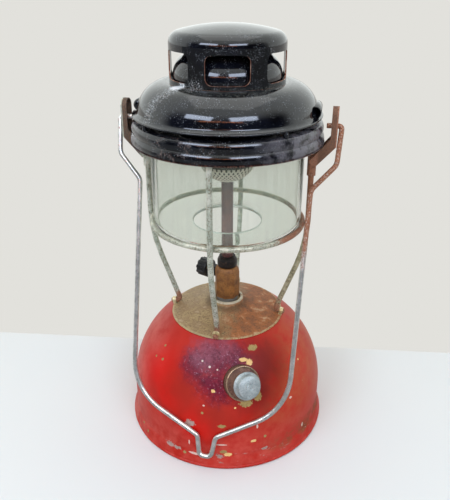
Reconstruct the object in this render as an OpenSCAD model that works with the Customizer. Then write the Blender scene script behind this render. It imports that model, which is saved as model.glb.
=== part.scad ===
// Kerosene pressure lantern with a hanging bail, in millimetres.
// The origin is on the lantern's axis in the plane of the foot, +Z is up,
// +X points to the right ear and -Y to the front leg, where the bail hangs.

/* [Tank] */
// Outer radius of the tank's wall and of its domed top
tank_r = 76.2; // [74:0.1:80]
// Height at which the straight wall turns into the dome
tank_wall_h = 30; // [26:0.5:36]
// Sheet thickness of the tank
tank_t = 1; // [0.8:0.1:1.2]
// Outer radius of the rolled foot
foot_r = 79.5; // [78:0.1:82]
// Radius of the roll along the foot
foot_bead_r = 1.5; // [1:0.1:2]
// Height of the flared skirt below the wall
skirt_h = 9.3; // [7:0.1:12]
// Width of the slope round the bottom disc
dish_w = 8; // [6:0.5:10]
// Height of the bottom disc above the foot
bottom_lift = 6; // [4:0.5:8]

/* [Heat plate] */
// Radius of the plate on the top of the tank
plate_r = 43.8; // [40:0.1:46]
// Sheet thickness of the plate
plate_t = 0.8; // [0.6:0.1:1.2]
// Rise of the plate from its edge to the hub
plate_rise = 7; // [5:0.5:9]
// Outer radius of the raised hub
hub_r = 12.7; // [12:0.1:15]
// Height of the hub above the plate's cone
hub_h = 4.7; // [3:0.1:6]

/* [Frame] */
// Radius of the leg and ring wire
leg_wire_r = 2; // [1.6:0.1:2.4]
// Distance of the upright legs from the axis
leg_r = 59.3; // [58.5:0.1:60.5]
// Height of the ring's wire above the top of the tank
ring_lift = 79; // [75:0.5:83]
// Height above the top of the tank at which the legs lean in
lean_lift = 62.5; // [58:0.5:66]
// Bend radius where the legs lean in
lean_bend_r = 110; // [60:5:120]
// Height of the hood's seat above the top of the tank
seat_lift = 152; // [146:1:158]
// Bend radius of the feet
foot_bend_r = 3; // [2.5:0.1:3.5]
// Width of the strap over each foot
strap_w = 2.6; // [2.2:0.1:3]

/* [Ears] */
// Distance of an ear's outer face from the axis
ear_x = 74.9; // [74:0.1:76]
// Width of an ear across the wire
ear_w = 11; // [9:0.5:12]
// Depth of an ear's side flanges
ear_depth = 4.2; // [3:0.1:4.5]
// Sheet thickness of the ears
ear_t = 1; // [0.8:0.1:1.2]
// Height of an ear above the bail's pivot
ear_top = 13; // [11:0.5:15]
// Height of an ear below the bail's pivot
ear_drop = 13; // [11:0.5:15]
// Height of the collar that grips the leg
collar_h = 11; // [8:0.5:13]

/* [Bail] */
// Radius of the bail's wire
bail_wire_r = 1.75; // [1.5:0.05:2]
// Height of the bail's pivot above the hood's seat
pivot_drop = 1.1; // [0:0.1:2]
// Reach from the pivot to the bottom of the finger notch
bail_reach = 241.5; // [236:0.5:244]
// Half width of the bail at its hooks
bail_hook_x = 77.6; // [77.4:0.1:79]
// Half width of the bail below its hooks
bail_half_w = 60.5; // [58:0.5:64]
// Length of the wide stretch next to the ears
bail_hook_drop = 25.7; // [22:0.1:28]
// Bend radius of the bail's lower corners
bail_corner_r = 42; // [32:1:46]
// Depth of the finger notch
notch_depth = 15; // [10:0.5:18]

/* [Glass] */
// Outer radius of the glass
glass_r = 54; // [53.7:0.1:55]
// Wall thickness of the glass
glass_t = 2.2; // [1.6:0.1:3]
// Outer radius of the turned-in bottom edge
glass_edge_r = 7; // [6:0.5:9]
// Radius of the hole in the bottom of the glass
glass_hole_r = 25; // [20:1:30]

/* [Hood] */
// Outer radius of the hood's lower rim
rim_r = 66.8; // [66:0.1:67]
// Height of the skirt below the hood's seat
hood_skirt_h = 13.4; // [11:0.1:15]
// Sheet thickness of the hood
hood_t = 0.9; // [0.7:0.1:1.1]
// Height of the air gap between skirt and dome
air_gap = 3.6; // [3:0.1:5]
// Outer radius of the dome's lip
lip_r = 64.7; // [63:0.1:65.5]
// Outer radius of the dome above its lip
dome_r = 61.4; // [60:0.1:62.5]
// Radius of the dome's rounded shoulder
dome_round = 20.9; // [19:0.1:22]
// Outer radius of the pressed louvers in the dome's sides
louver_r = 4.2; // [3.5:0.1:4.5]
// Length of a louver
louver_len = 24; // [18:0.5:28]
// Radius of the hole in the seat plate
seat_hole_r = 33; // [28:0.5:34]

/* [Chimney] */
// Outer radius of the chimney
chimney_r = 38.8; // [38:0.1:39.5]
// Number of posts round the chimney
posts = 6; // [4:1:8]
// Width of a post
post_w = 10.8; // [8:0.1:14]
// Height of the windows
window_h = 18; // [14:0.5:22]
// Corner radius at the top of a window
window_corner = 4.5; // [3:0.5:5]
// Radius of the cap's rounded shoulder
cap_round = 8; // [6:0.5:10]
// Radius of the flue's cylinder below its dome
flue_r = 36.6; // [35:0.1:37]
// Radius of the opening at the top of the flue
flue_mouth_r = 27; // [24:0.5:29]

/* [Burner] */
// Radius of the control body across its flats
body_r = 9; // [8.5:0.1:9.5]
// Height of the control body
body_h = 25.5; // [23:0.5:28]
// Height of the spindle above the bottom of the control body
spindle_lift = 18; // [16.5:0.5:18.5]
// Direction of the control spindle, clockwise from the front
spindle_turn = -114; // [-135:1:-100]
// Outer radius of the vaporiser tube
tube_r = 4.4; // [4:0.1:4.8]
// Height of the vaporiser tube above the control body
tube_h = 91; // [86:1:96]
// Depth of the nozzle cap below the collar of the tube
nozzle_drop = 13; // [12:0.5:14]
// Spherical radius of the nozzle cap
nozzle_r = 22; // [20:0.5:24]
// Height of the bell of the mixing chamber
bell_h = 18; // [16:0.5:20]
// Height of the mixing chamber
burner_h = 48; // [44:0.5:50]
// Width of the step from the bell to the neck of the mixing chamber
bell_step = 11.5; // [11:0.5:12]
// Throw of the spindle's crank pin
crank_throw = 1.25; // [1:0.05:1.5]

/* [Pump] */
// Direction of the pump's axis, anticlockwise from the front
pump_turn = 28.7; // [24:0.1:34]
// Elevation of the pump's axis
pump_tilt = 27.5; // [24:0.5:32]
// Sideways offset of the pump's axis from the tank's axis
pump_side = 9.6; // [8:0.2:12]
// Elevation of the pump cap on the tank's dome
pump_seat_angle = 30.95; // [28:0.05:34]
// Height of the front of the pump cap above the dome
cap_proud = 4.1; // [3:0.1:5]
// Outer radius of the knurled pump cap
cap_r = 12.7; // [12:0.1:13.4]
// Height of the pump cap
cap_h = 7; // [6:0.5:8]
// Outer radius of the pump barrel
barrel_r = 8.5; // [8:0.1:9]
// Length of the pump barrel
barrel_l = 62; // [58:1:66]
// Radius of the pump knob's flange
knob_flange_r = 9.9; // [9:0.1:10.5]
// Radius of the pump knob
knob_r = 8.05; // [7.4:0.1:8.8]
// Distance from the pump cap to the top of the knob's flange
knob_gap = 9.9; // [7:0.1:12]
// Height of the knob above its flange
knob_h = 5.1; // [4:0.1:7]
// Stroke of the pump
pump_stroke = 46; // [40:1:48]

/* [Clearances] */
// Gap between pieces that are soldered, screwed or wedged together
seat_gap = 0.05; // [0.02:0.01:0.1]
// Radial gap of a turning or sliding shaft
run_gap = 0.06; // [0.03:0.01:0.1]
// Gap between pieces that rest loosely on each other
rest_gap = 0.2; // [0.1:0.05:0.3]

/* [Hidden] */
$fn = 96;
wire_fn = 32;
eps = 0.01;
// An elbow of a wire reaches this far into its straights and is this much thinner
elbow_overlap = 0.1;
elbow_slip = 0.02;

// Tank and plate
plate_seat_r = plate_r + 0.4;
tank_top = tank_wall_h + sqrt(pow(tank_r, 2) - pow(plate_seat_r, 2));
plate_slope = atan(plate_rise / (plate_r - hub_r));
plate_z = tank_top + plate_t;
hub_z = plate_z + plate_rise;
hub_top = hub_z + hub_h;
boss_r = hub_r - 2.8;
boss_flange_r = boss_r + 4;
boss_flange_t = 2;
boss_bore_r = 5;
boss_top = hub_top - 2;
washer_t = 3;
pickup_r = 3;

// Frame: each leg is planar, drawn with the distance from the axis as x and the height as z
foot_rise = leg_wire_r / cos(plate_slope) + rest_gap;
function plate_height(r) = plate_z + (plate_r - r) * tan(plate_slope);
ring_r = leg_r - 2 * leg_wire_r - seat_gap;
ring_z = tank_top + ring_lift;
lean_z = tank_top + lean_lift;
seat_z = tank_top + seat_lift;
leg_top = seat_z - seat_gap;
foot_corner_r = plate_r - 5.6;
foot_end_r = plate_r + 1.9;
leg_points = [
    [leg_r, leg_top],
    [leg_r, lean_z],
    [foot_corner_r, plate_height(foot_corner_r) + foot_rise],
    [foot_end_r, plate_height(foot_end_r) + foot_rise]];
leg_bends = [0, lean_bend_r, foot_bend_r, 0];
strap_t = 0.8;
strap_mid_r = plate_r + 0.5 - strap_w / 2;

// Ears and bail
pivot_z = seat_z - pivot_drop;
bail_hole_r = bail_wire_r + run_gap;
pin_tip_x = rim_r + 0.6;
pin_bend_r = 2.2;
hook_lean = 1.4;
bail_side_slope = 3.8 / 157;
bail_jog = 17.8;
bail_lower_slope = 0.524;
notch_half_w = 4.3;
notch_bend_r = 4;
notch_mouth_x = notch_half_w + 2.4;
bail_corner_y = bail_reach - notch_depth - bail_lower_slope * (bail_half_w - notch_mouth_x) * 0.985;
bail_low_x = bail_half_w - bail_side_slope * (bail_corner_y - bail_hook_drop - bail_jog);
// The right half of the bail, from the finger notch up to the tip of its pin
bail_half = [
    [notch_half_w, -bail_reach],
    [notch_mouth_x, notch_depth - bail_reach],
    [bail_low_x, -bail_corner_y],
    [bail_half_w, -bail_hook_drop - bail_jog],
    [bail_hook_x - hook_lean, -bail_hook_drop],
    [bail_hook_x, 0],
    [pin_tip_x, 0]];
bail_half_bends = [notch_bend_r, 5, bail_corner_r, 8, 8, pin_bend_r, 0];
bail_n = len(bail_half);
bail_points = concat([for (i = [bail_n - 1 : -1 : 0]) [-bail_half[i][0], bail_half[i][1]]], bail_half);
bail_bends = concat([for (i = [bail_n - 1 : -1 : 0]) bail_half_bends[i]], bail_half_bends);
// The bail hangs against the tank's wall, just clear of it
bail_touch_r = tank_r + bail_wire_r + 0.5;
bail_rest_angle = asin(bail_touch_r / (bail_reach - notch_depth));
collar_r = leg_wire_r + ear_t + seat_gap;
collar_top = pivot_z - ear_drop - 11;

// Glass: its rounded edge rests on the ring
glass_rest = leg_wire_r + glass_edge_r + rest_gap;
glass_rest_x = ring_r - (glass_r - glass_edge_r);
glass_z = ring_z + sqrt(pow(glass_rest, 2) - pow(glass_rest_x, 2)) - glass_edge_r;
glass_top = seat_z - rest_gap;

// Hood
seat_top = seat_z + hood_t;
rim_z = seat_top - hood_skirt_h - hood_t;
skirt_top_r = rim_r - 1.6;
bead_out = 1.1;
lip_z = seat_top + air_gap;
dome_mid_r = dome_r - dome_round;
dome_mid_z = lip_z + 1.2;
dome_top = dome_mid_z + dome_round;
dome_hole_r = chimney_r - hood_t - 0.6;
louver_in = 1.9;
louver_rise = 5;
chimney_z = dome_top;
chimney_t = hood_t;
window_z = chimney_z + 2;
cap_wall_h = 3.5;
cap_shoulder_z = window_z + window_h + cap_wall_h;
cap_dome_r = 130;
cap_dome_drop = sqrt(pow(cap_dome_r - cap_round, 2) - pow(chimney_r - cap_round, 2));
flue_wall_z = chimney_z + 2.5;
flue_rise = 15;
flue_round = (pow(flue_r - flue_mouth_r, 2) + pow(flue_rise, 2)) / (2 * (flue_r - flue_mouth_r));
spacer_count = 4;
spacer_r = 1.5;
spacer_pos_r = lip_r - 1.6;

// Burner column
washer_z = boss_top;
body_z = washer_z + washer_t;
body_top = body_z + body_h;
body_bore_r = 5.2;
spindle_z = body_z + spindle_lift;
spindle_r = 1.5;
spindle_in = 2;
gland_from = body_r - 0.4;
gland_to = body_r + 4;
wheel_from = body_r + 7.6;
wheel_l = 8.5;
wheel_r = 7.3;
crank_r = 0.8;
pricker_lift = 2 * crank_throw;
nut_h = 9;
tube_bore_r = tube_r - 1;
tube_from = body_top - 2.5;
tube_top = body_top + tube_h;
tube_collar_z = tube_top - 10;
jet_r = 0.28;
needle_r = jet_r - 0.08;
rod_r = 0.9;
nozzle_z = tube_collar_z + nozzle_r - nozzle_drop;
burner_z = tube_collar_z + 2;
bell_r = nozzle_r;
burner_t = 1.6;

// Pump, drawn along its own axis with the front of its cap at 0
pump_z = tank_wall_h + (tank_r + cap_proud) * sin(pump_seat_angle);
pump_out = sqrt(pow((tank_r + cap_proud) * cos(pump_seat_angle), 2) - pow(pump_side, 2));
cup_r = barrel_r - 0.8;
well_r = cap_r + 0.6;
well_floor = -cap_h - 1;
neck_r = cap_r - 1.6;
cap_recess = 1.2;
cap_face_t = 0.9;
barrel_flange_t = 0.6;
pump_washer_t = 0.5;
neck_top = -cap_recess - cap_face_t - barrel_flange_t - pump_washer_t - 4 * seat_gap;
rod_shaft_r = 2.4;
cup_h = 6;
piston_z = neck_top - barrel_l + 12;

// ---- Shared shapes ----

function unit(v) = v / norm(v);
function side(a, b) = sign(a[0] * b[1] - a[1] * b[0]);
function left_of(d) = [-d[1], d[0]];
// Distance from a corner to where its bend starts
function bend_reach(p, bend, i) =
    (i == 0 || i == len(p) - 1) ? 0
    : bend[i] * tan(acos(unit(p[i] - p[i - 1]) * unit(p[i + 1] - p[i])) / 2);

// A round wire in the XZ plane along the points p, bent to the radii in bend
module bent_wire(p, bend, r) {
    for (i = [0 : len(p) - 2]) {
        d = unit(p[i + 1] - p[i]);
        a = p[i] + d * bend_reach(p, bend, i);
        b = p[i + 1] - d * bend_reach(p, bend, i + 1);
        if (norm(b - a) > eps)
            translate([a[0], 0, a[1]])
                rotate([0, 90 - atan2(d[1], d[0]), 0])
                    cylinder(h = norm(b - a), r = r, $fn = wire_fn);
    }
    for (i = [1 : len(p) - 2]) {
        d1 = unit(p[i] - p[i - 1]);
        d2 = unit(p[i + 1] - p[i]);
        s = side(d1, d2);
        from = p[i] - d1 * bend_reach(p, bend, i);
        mid = from + left_of(d1) * s * bend[i];
        first = s > 0 ? -left_of(d1) : left_of(d2);
        over = elbow_overlap / bend[i] * 180 / PI;
        translate([mid[0], 0, mid[1]])
            rotate([90, 0, 0])
                rotate([0, 0, atan2(first[1], first[0]) - over])
                    rotate_extrude(angle = acos(d1 * d2) + 2 * over, $fn = 180)
                        translate([bend[i], 0])
                            circle(r = r - elbow_slip, $fn = wire_fn);
    }
}

module ring(z, h, r_out, r_in) {
    translate([0, 0, z])
        difference() {
            cylinder(h = h, r = r_out);
            translate([0, 0, -1])
                cylinder(h = h + 2, r = r_in);
        }
}

// Places its children with +Z along the pump's axis
module on_pump() {
    rotate([0, 0, pump_turn])
        translate([-pump_side, -pump_out, pump_z])
            rotate([90 - pump_tilt, 0, 0])
                children();
}

// Places its children with +Z along the control spindle
module on_spindle() {
    rotate([0, 0, spindle_turn])
        translate([0, 0, spindle_z])
            rotate([90, 0, 0])
                children();
}

// ---- Tank ----

// Half section of the tank, drawn inwards by d
module tank_section(d) {
    intersection() {
        translate([0, tank_wall_h])
            circle(r = tank_r - d);
        translate([0, tank_wall_h - eps])
            square([tank_r - d, tank_top - tank_wall_h - d + eps]);
    }
    translate([0, skirt_h - d])
        square([tank_r - d, tank_wall_h - skirt_h + d]);
    polygon([
        [0, foot_bead_r - d],
        [foot_r - foot_bead_r * 0.4 - d, foot_bead_r - d],
        [tank_r + 1 - d, skirt_h - d],
        [0, skirt_h - d]]);
}

module foot_section() {
    translate([foot_r - foot_bead_r, foot_bead_r])
        circle(r = foot_bead_r);
    translate([foot_r - 2.4 * foot_bead_r, 0])
        square([1.4 * foot_bead_r, foot_bead_r]);
}

module tank_shell() {
    color("firebrick")
        difference() {
            union() {
                rotate_extrude()
                    difference() {
                        union() {
                            tank_section(0);
                            foot_section();
                        }
                        tank_section(tank_t);
                        translate([0, -1])
                            square([foot_r - 2.4 * foot_bead_r, foot_bead_r + 1]);
                    }
                intersection() {
                    on_pump()
                        translate([0, 0, well_floor - tank_t])
                            cylinder(h = cap_h + tank_t, r = well_r + tank_t);
                    translate([0, 0, tank_wall_h])
                        sphere(r = tank_r);
                }
            }
            on_pump() {
                translate([0, 0, well_floor])
                    cylinder(h = 3 * cap_h, r = well_r);
                translate([0, 0, 3 * well_floor])
                    cylinder(h = -2.5 * well_floor, r = neck_r + seat_gap);
            }
            translate([0, 0, tank_top - 4])
                cylinder(h = 8, r = boss_r + seat_gap);
        }
}

module tank_bottom() {
    plug_r = tank_r - tank_t - seat_gap;
    color("indianred")
        rotate_extrude()
            difference() {
                union() {
                    translate([0, skirt_h])
                        square([plug_r, 5]);
                    polygon([
                        [0, bottom_lift - tank_t],
                        [plug_r - dish_w, bottom_lift - tank_t],
                        [plug_r, skirt_h],
                        [0, skirt_h + eps]]);
                }
                translate([0, skirt_h])
                    square([plug_r - tank_t, 6]);
                polygon([
                    [-1, bottom_lift],
                    [plug_r - dish_w - 0.4, bottom_lift],
                    [plug_r - tank_t, skirt_h + eps],
                    [-1, skirt_h + eps]]);
            }
}

module tank_boss() {
    color("darkgoldenrod")
        difference() {
            union() {
                translate([0, 0, tank_top - 6])
                    cylinder(h = boss_top - tank_top + 6, r = boss_r);
                translate([0, 0, tank_top + seat_gap])
                    cylinder(h = boss_flange_t, r = boss_flange_r);
            }
            translate([0, 0, tank_top - 7])
                cylinder(h = boss_top - tank_top + 8, r = boss_bore_r);
        }
}

module pickup_tube() {
    color("darkgoldenrod")
        difference() {
            union() {
                translate([0, 0, bottom_lift + 4])
                    cylinder(h = boss_top - bottom_lift - 4, r = pickup_r, $fn = wire_fn);
                translate([0, 0, boss_top - 3])
                    cylinder(h = 3, r = boss_bore_r - seat_gap);
            }
            translate([0, 0, bottom_lift])
                cylinder(h = boss_top, r = pickup_r - 0.8, $fn = wire_fn);
        }
}

// ---- Heat plate with the straps that hold the legs ----

module strap() {
    translate([strap_mid_r, 0, plate_height(strap_mid_r) + foot_rise])
        rotate([0, 90 + plate_slope, 0])
            translate([0, 0, -strap_w / 2]) {
                cylinder(h = strap_w, r = leg_wire_r + seat_gap + strap_t, $fn = wire_fn);
                translate([0, -leg_wire_r - seat_gap - strap_t, 0])
                    cube([foot_rise + 0.6 * plate_t, 2 * (leg_wire_r + seat_gap + strap_t), strap_w]);
            }
}

module strap_bore() {
    translate([strap_mid_r, 0, plate_height(strap_mid_r) + foot_rise])
        rotate([0, 90 + plate_slope, 0])
            translate([0, 0, -strap_w]) {
                cylinder(h = 2 * strap_w, r = leg_wire_r + seat_gap, $fn = wire_fn);
                translate([0, -leg_wire_r - seat_gap, 0])
                    cube([foot_rise - 0.1, 2 * (leg_wire_r + seat_gap), 2 * strap_w]);
            }
}

module heat_plate() {
    color("peru")
        difference() {
            union() {
                rotate_extrude()
                    difference() {
                        union() {
                            polygon([
                                [0, plate_z - plate_t],
                                [plate_r, plate_z - plate_t],
                                [plate_r, plate_z],
                                [hub_r, hub_z],
                                [hub_r, hub_top - 1],
                                [hub_r - 1, hub_top],
                                [0, hub_top]]);
                        }
                        polygon([
                            [-1, plate_z - plate_t - 1],
                            [plate_r - plate_t, plate_z - plate_t - 1],
                            [plate_r - plate_t, plate_z - plate_t],
                            [hub_r - plate_t, hub_z - plate_t],
                            [hub_r - plate_t, hub_top - 2 * plate_t],
                            [boss_r + 0.6, hub_top - 2 * plate_t],
                            [boss_r + 0.6, hub_top + 1],
                            [-1, hub_top + 1]]);
                    }
                for (a = [0 : 90 : 270])
                    rotate([0, 0, a])
                        strap();
            }
            for (a = [0 : 90 : 270])
                rotate([0, 0, a])
                    strap_bore();
        }
}

// ---- Burner column ----

module boss_washer() {
    color("dimgray")
        ring(washer_z, washer_t, body_r - 0.7, boss_bore_r);
}

module control_body() {
    color("tan")
        difference() {
            intersection() {
                translate([0, 0, body_z])
                    rotate([0, 0, 22.5 + spindle_turn])
                        cylinder(h = body_h, r = body_r / cos(22.5), $fn = 8);
                rotate_extrude()
                    polygon([
                        [0, body_z],
                        [body_r - 0.4, body_z],
                        [body_r - 0.4, body_z + 3],
                        [body_r + 0.5, body_z + 4],
                        [body_r + 0.5, body_top - 4],
                        [body_r - 1, body_top],
                        [0, body_top]]);
            }
            translate([0, 0, body_z + 2])
                cylinder(h = body_h - 5, r = body_bore_r);
            translate([0, 0, body_z - 1])
                cylinder(h = body_h + 2, r = tube_r + seat_gap);
            on_spindle()
                cylinder(h = body_r + 2, r = spindle_r + run_gap, $fn = wire_fn);
        }
}

module gland_nut() {
    color("black")
        on_spindle()
            difference() {
                translate([0, 0, body_r + seat_gap])
                    cylinder(h = gland_to - body_r - seat_gap, r = 4.6, $fn = 6);
                cylinder(h = gland_to + 1, r = spindle_r + run_gap, $fn = wire_fn);
            }
}

module vaporiser_nut() {
    color("black")
        difference() {
            intersection() {
                translate([0, 0, body_top + seat_gap])
                    cylinder(h = nut_h, r = 8, $fn = 6);
                rotate_extrude()
                    polygon([
                        [0, body_top],
                        [6.8, body_top],
                        [7.8, body_top + 1.5],
                        [7.6, body_top + nut_h - 2],
                        [6.2, body_top + nut_h + 1],
                        [0, body_top + nut_h + 1]]);
            }
            translate([0, 0, body_top - 1])
                cylinder(h = nut_h + 2, r = tube_r + seat_gap);
        }
}

module vaporiser_tube() {
    color("saddlebrown")
        difference() {
            union() {
                translate([0, 0, tube_from])
                    cylinder(h = tube_top - tube_from, r = tube_r);
                translate([0, 0, tube_collar_z])
                    cylinder(h = 2, r = tube_r + 1.2);
            }
            translate([0, 0, tube_from - 1])
                cylinder(h = tube_top - tube_from + 2, r = tube_bore_r);
        }
}

module jet_nipple() {
    color("goldenrod")
        difference() {
            union() {
                translate([0, 0, tube_top - 4])
                    cylinder(h = 5, r = tube_bore_r - seat_gap);
                translate([0, 0, tube_top + seat_gap])
                    cylinder(h = 3, r = 4, $fn = 6);
                translate([0, 0, tube_top + 3])
                    cylinder(h = 1.5, r1 = 2.2, r2 = 1.2, $fn = wire_fn);
            }
            translate([0, 0, tube_top - 5])
                cylinder(h = 7.5, r = rod_r + 0.3, $fn = wire_fn);
            translate([0, 0, tube_top])
                cylinder(h = 6, r = jet_r, $fn = wire_fn);
        }
}

// Mixing chamber above the nozzle: a bell on a web with gas passages
module burner_body() {
    wall = burner_t;
    color("dimgray")
        difference() {
            rotate_extrude()
                difference() {
                    polygon([
                        [0, burner_z],
                        [bell_r, burner_z],
                        [bell_r, burner_z + bell_h],
                        [bell_r - bell_step, burner_z + 1.5 * bell_h],
                        [bell_r - bell_step, burner_z + burner_h - 2],
                        [bell_r - bell_step - 2, burner_z + burner_h],
                        [0, burner_z + burner_h]]);
                    polygon([
                        [0, burner_z + wall],
                        [bell_r - wall, burner_z + wall],
                        [bell_r - wall, burner_z + bell_h - 1],
                        [bell_r - bell_step - wall, burner_z + 1.5 * bell_h - 0.5],
                        [bell_r - bell_step - wall, burner_z + burner_h - wall],
                        [0, burner_z + burner_h - wall]]);
                }
            translate([0, 0, burner_z - 1])
                cylinder(h = 4, r = tube_r + seat_gap);
            for (a = [0 : 45 : 315])
                rotate([0, 0, a])
                    translate([10, 0, burner_z - 1])
                        cylinder(h = 4, r = 2, $fn = wire_fn);
            for (a = [0 : 60 : 300])
                rotate([0, 0, a])
                    translate([bell_r - 5, 0, burner_z + 2 * bell_h / 3])
                        rotate([0, 90, 0])
                            cylinder(h = 7, r = 3, $fn = wire_fn);
        }
}

module nozzle_cap() {
    cap_t = 0.9;
    color("ivory")
        rotate_extrude()
            difference() {
                intersection() {
                    translate([0, nozzle_z])
                        circle(r = nozzle_r);
                    translate([tube_r + 0.5, nozzle_z - nozzle_r])
                        square([nozzle_r, nozzle_r - (nozzle_z - burner_z) - seat_gap]);
                }
                translate([0, nozzle_z])
                    circle(r = nozzle_r - cap_t);
            }
}

// ---- Glass ----

module glass_globe() {
    color("lightcyan", 0.35)
        rotate_extrude()
            difference() {
                union() {
                    translate([glass_r - glass_edge_r, glass_z + glass_edge_r])
                        circle(r = glass_edge_r);
                    translate([glass_hole_r, glass_z])
                        square([glass_r - glass_edge_r - glass_hole_r, glass_t]);
                    translate([glass_r - glass_t, glass_z + glass_edge_r])
                        square([glass_t, glass_top - glass_z - glass_edge_r]);
                }
                translate([glass_r - glass_edge_r, glass_z + glass_edge_r])
                    circle(r = glass_edge_r - glass_t);
                translate([0, glass_z + glass_t])
                    square([glass_r - glass_edge_r, glass_edge_r * 2]);
                translate([0, glass_z + glass_edge_r])
                    square([glass_r - glass_t, glass_edge_r]);
            }
}

// ---- Wire frame ----

module support_ring() {
    color("silver")
        translate([0, 0, ring_z])
            rotate_extrude()
                translate([ring_r, 0])
                    circle(r = leg_wire_r, $fn = wire_fn);
}

module leg(turn) {
    color("silver")
        rotate([0, 0, turn])
            bent_wire(leg_points, leg_bends, leg_wire_r);
}

module leg_right() { leg(0); }
module leg_back() { leg(90); }
module leg_left() { leg(180); }
module leg_front() { leg(-90); }

// Side outline of the strip that an ear is folded from, drawn inwards by d
module ear_outline(d) {
    ear_low = pivot_z - ear_drop;
    arm_x = leg_r + collar_r - 1;
    polygon([
        [ear_x - d, pivot_z + ear_top + 1],
        [ear_x - d, ear_low - 0.4 * d],
        [arm_x - 0.4 * d, collar_top - 4 + 0.5 * d],
        [arm_x - ear_depth, collar_top],
        [ear_x - ear_depth - 0.7, ear_low + ear_depth],
        [ear_x - ear_depth, ear_low + ear_depth + 1],
        [ear_x - ear_depth, pivot_z + ear_top + 1]]);
}

module ear_round(d) {
    // Seen along X: a strip of the ear's width with a round top
    rotate([0, 90, 0]) {
        translate([-pivot_z - ear_top + ear_w / 2, 0, 0])
            cylinder(h = 2 * ear_x, r = ear_w / 2 - d);
        translate([-pivot_z - ear_top + ear_w / 2, -ear_w / 2 + d, 0])
            cube([ear_top + ear_drop + 20, ear_w - 2 * d, 2 * ear_x]);
    }
}

module ear() {
    color("silver")
        difference() {
            union() {
                intersection() {
                    translate([0, ear_w / 2, 0])
                        rotate([90, 0, 0])
                            linear_extrude(ear_w)
                                ear_outline(0);
                    ear_round(0);
                }
                translate([leg_r, 0, collar_top - collar_h])
                    cylinder(h = collar_h + 3, r = collar_r, $fn = wire_fn);
            }
            intersection() {
                translate([-ear_t - 0.2, ear_w / 2, 0])
                    rotate([90, 0, 0])
                        linear_extrude(ear_w)
                            ear_outline(0);
                ear_round(ear_t);
                translate([leg_r + collar_r - 1.5, -ear_w, collar_top - 2])
                    cube([ear_x, 2 * ear_w, 2 * (ear_top + ear_drop)]);
            }
            translate([leg_r, 0, collar_top - collar_h - 1])
                cylinder(h = 40, r = leg_wire_r + seat_gap, $fn = wire_fn);
            translate([ear_x / 2, 0, pivot_z])
                rotate([0, 90, 0])
                    cylinder(h = ear_x, r = bail_hole_r, $fn = wire_fn);
        }
}

module ear_right() { ear(); }
module ear_left() { rotate([0, 0, 180]) ear(); }

// ---- Bail ----

module bail() {
    color("silver")
        translate([0, 0, pivot_z])
            rotate([-bail_rest_angle, 0, 0])
                bent_wire(bail_points, bail_bends, bail_wire_r);
}

// ---- Hood ----

module dome_outside() {
    intersection() {
        translate([dome_mid_r, dome_mid_z])
            circle(r = dome_round);
        translate([dome_mid_r, dome_mid_z])
            square(dome_round);
    }
    translate([dome_hole_r, lip_z])
        square([dome_mid_r - dome_hole_r + eps, dome_top - lip_z]);
    translate([dome_mid_r - 1, lip_z])
        square([dome_round + 1, 1.2 + eps]);
    polygon([
        [dome_mid_r, lip_z],
        [lip_r - 0.6, lip_z],
        [lip_r, lip_z + 0.5],
        [lip_r - 0.4, lip_z + 1.2],
        [dome_r + 0.8, lip_z + 2.6],
        [dome_r - 0.6, lip_z + 5.5],
        [dome_mid_r, lip_z + 5.5]]);
}

module dome_inside() {
    intersection() {
        translate([dome_mid_r, dome_mid_z])
            circle(r = dome_round - hood_t);
        translate([dome_mid_r - eps, dome_mid_z - eps])
            square(dome_round);
    }
    translate([0, lip_z - 1])
        square([dome_mid_r + eps, dome_top - lip_z - hood_t + 1]);
    translate([dome_mid_r - 1, lip_z - 1])
        square([dome_round - hood_t + 1, 2.2 + eps]);
    polygon([
        [dome_mid_r, lip_z - 1],
        [lip_r - 1.4, lip_z - 1],
        [lip_r - 1.4, lip_z + 0.6],
        [dome_r - 0.1, lip_z + 2],
        [dome_r - 1.5, lip_z + 5],
        [dome_mid_r, lip_z + 5]]);
}

// A louver: a pressed tunnel that lies across the dome's side, open at one end
module louver(r, from, to) {
    translate([dome_r - louver_in, to, lip_z + louver_rise])
        rotate([90, 0, 0])
            cylinder(h = to - from, r = r, $fn = wire_fn);
}

module hood_dome() {
    color("midnightblue")
        difference() {
            union() {
                rotate_extrude()
                    dome_outside();
                for (side = [0, 180])
                    rotate([0, 0, side])
                        louver(louver_r, -louver_len / 2, louver_len / 2);
            }
            rotate_extrude()
                dome_inside();
            for (side = [0, 180])
                rotate([0, 0, side])
                    louver(louver_r - hood_t, -louver_len / 2 - 1, louver_len / 2 - hood_t);
        }
}

// Outer radius of the skirt at the fraction u of its height, with two rolled beads
function skirt_radius(u) = rim_r - bead_out - (rim_r - skirt_top_r) * u + bead_out * abs(sin(360 * u));

module hood_skirt() {
    steps = 20;
    wall_h = seat_top - rim_z;
    outer = [for (i = [0 : steps]) [skirt_radius(i / steps), rim_z + wall_h * i / steps]];
    inner = [for (i = [steps : -1 : 0]) [skirt_radius(i / steps) - hood_t - 0.2, rim_z + wall_h * i / steps]];
    color("midnightblue")
        rotate_extrude() {
            polygon(concat(outer, inner));
            translate([seat_hole_r, seat_z])
                square([skirt_top_r - bead_out - seat_hole_r - 0.3, hood_t]);
            translate([rim_r - 0.9, rim_z + 0.3])
                circle(r = 0.9, $fn = wire_fn);
        }
}

module hood_spacers() {
    color("black")
        for (i = [0 : spacer_count - 1])
            rotate([0, 0, 360 * (i + 0.5) / spacer_count])
                translate([spacer_pos_r, 0, seat_top])
                    cylinder(h = lip_z - seat_top, r = spacer_r, $fn = wire_fn);
}

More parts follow.
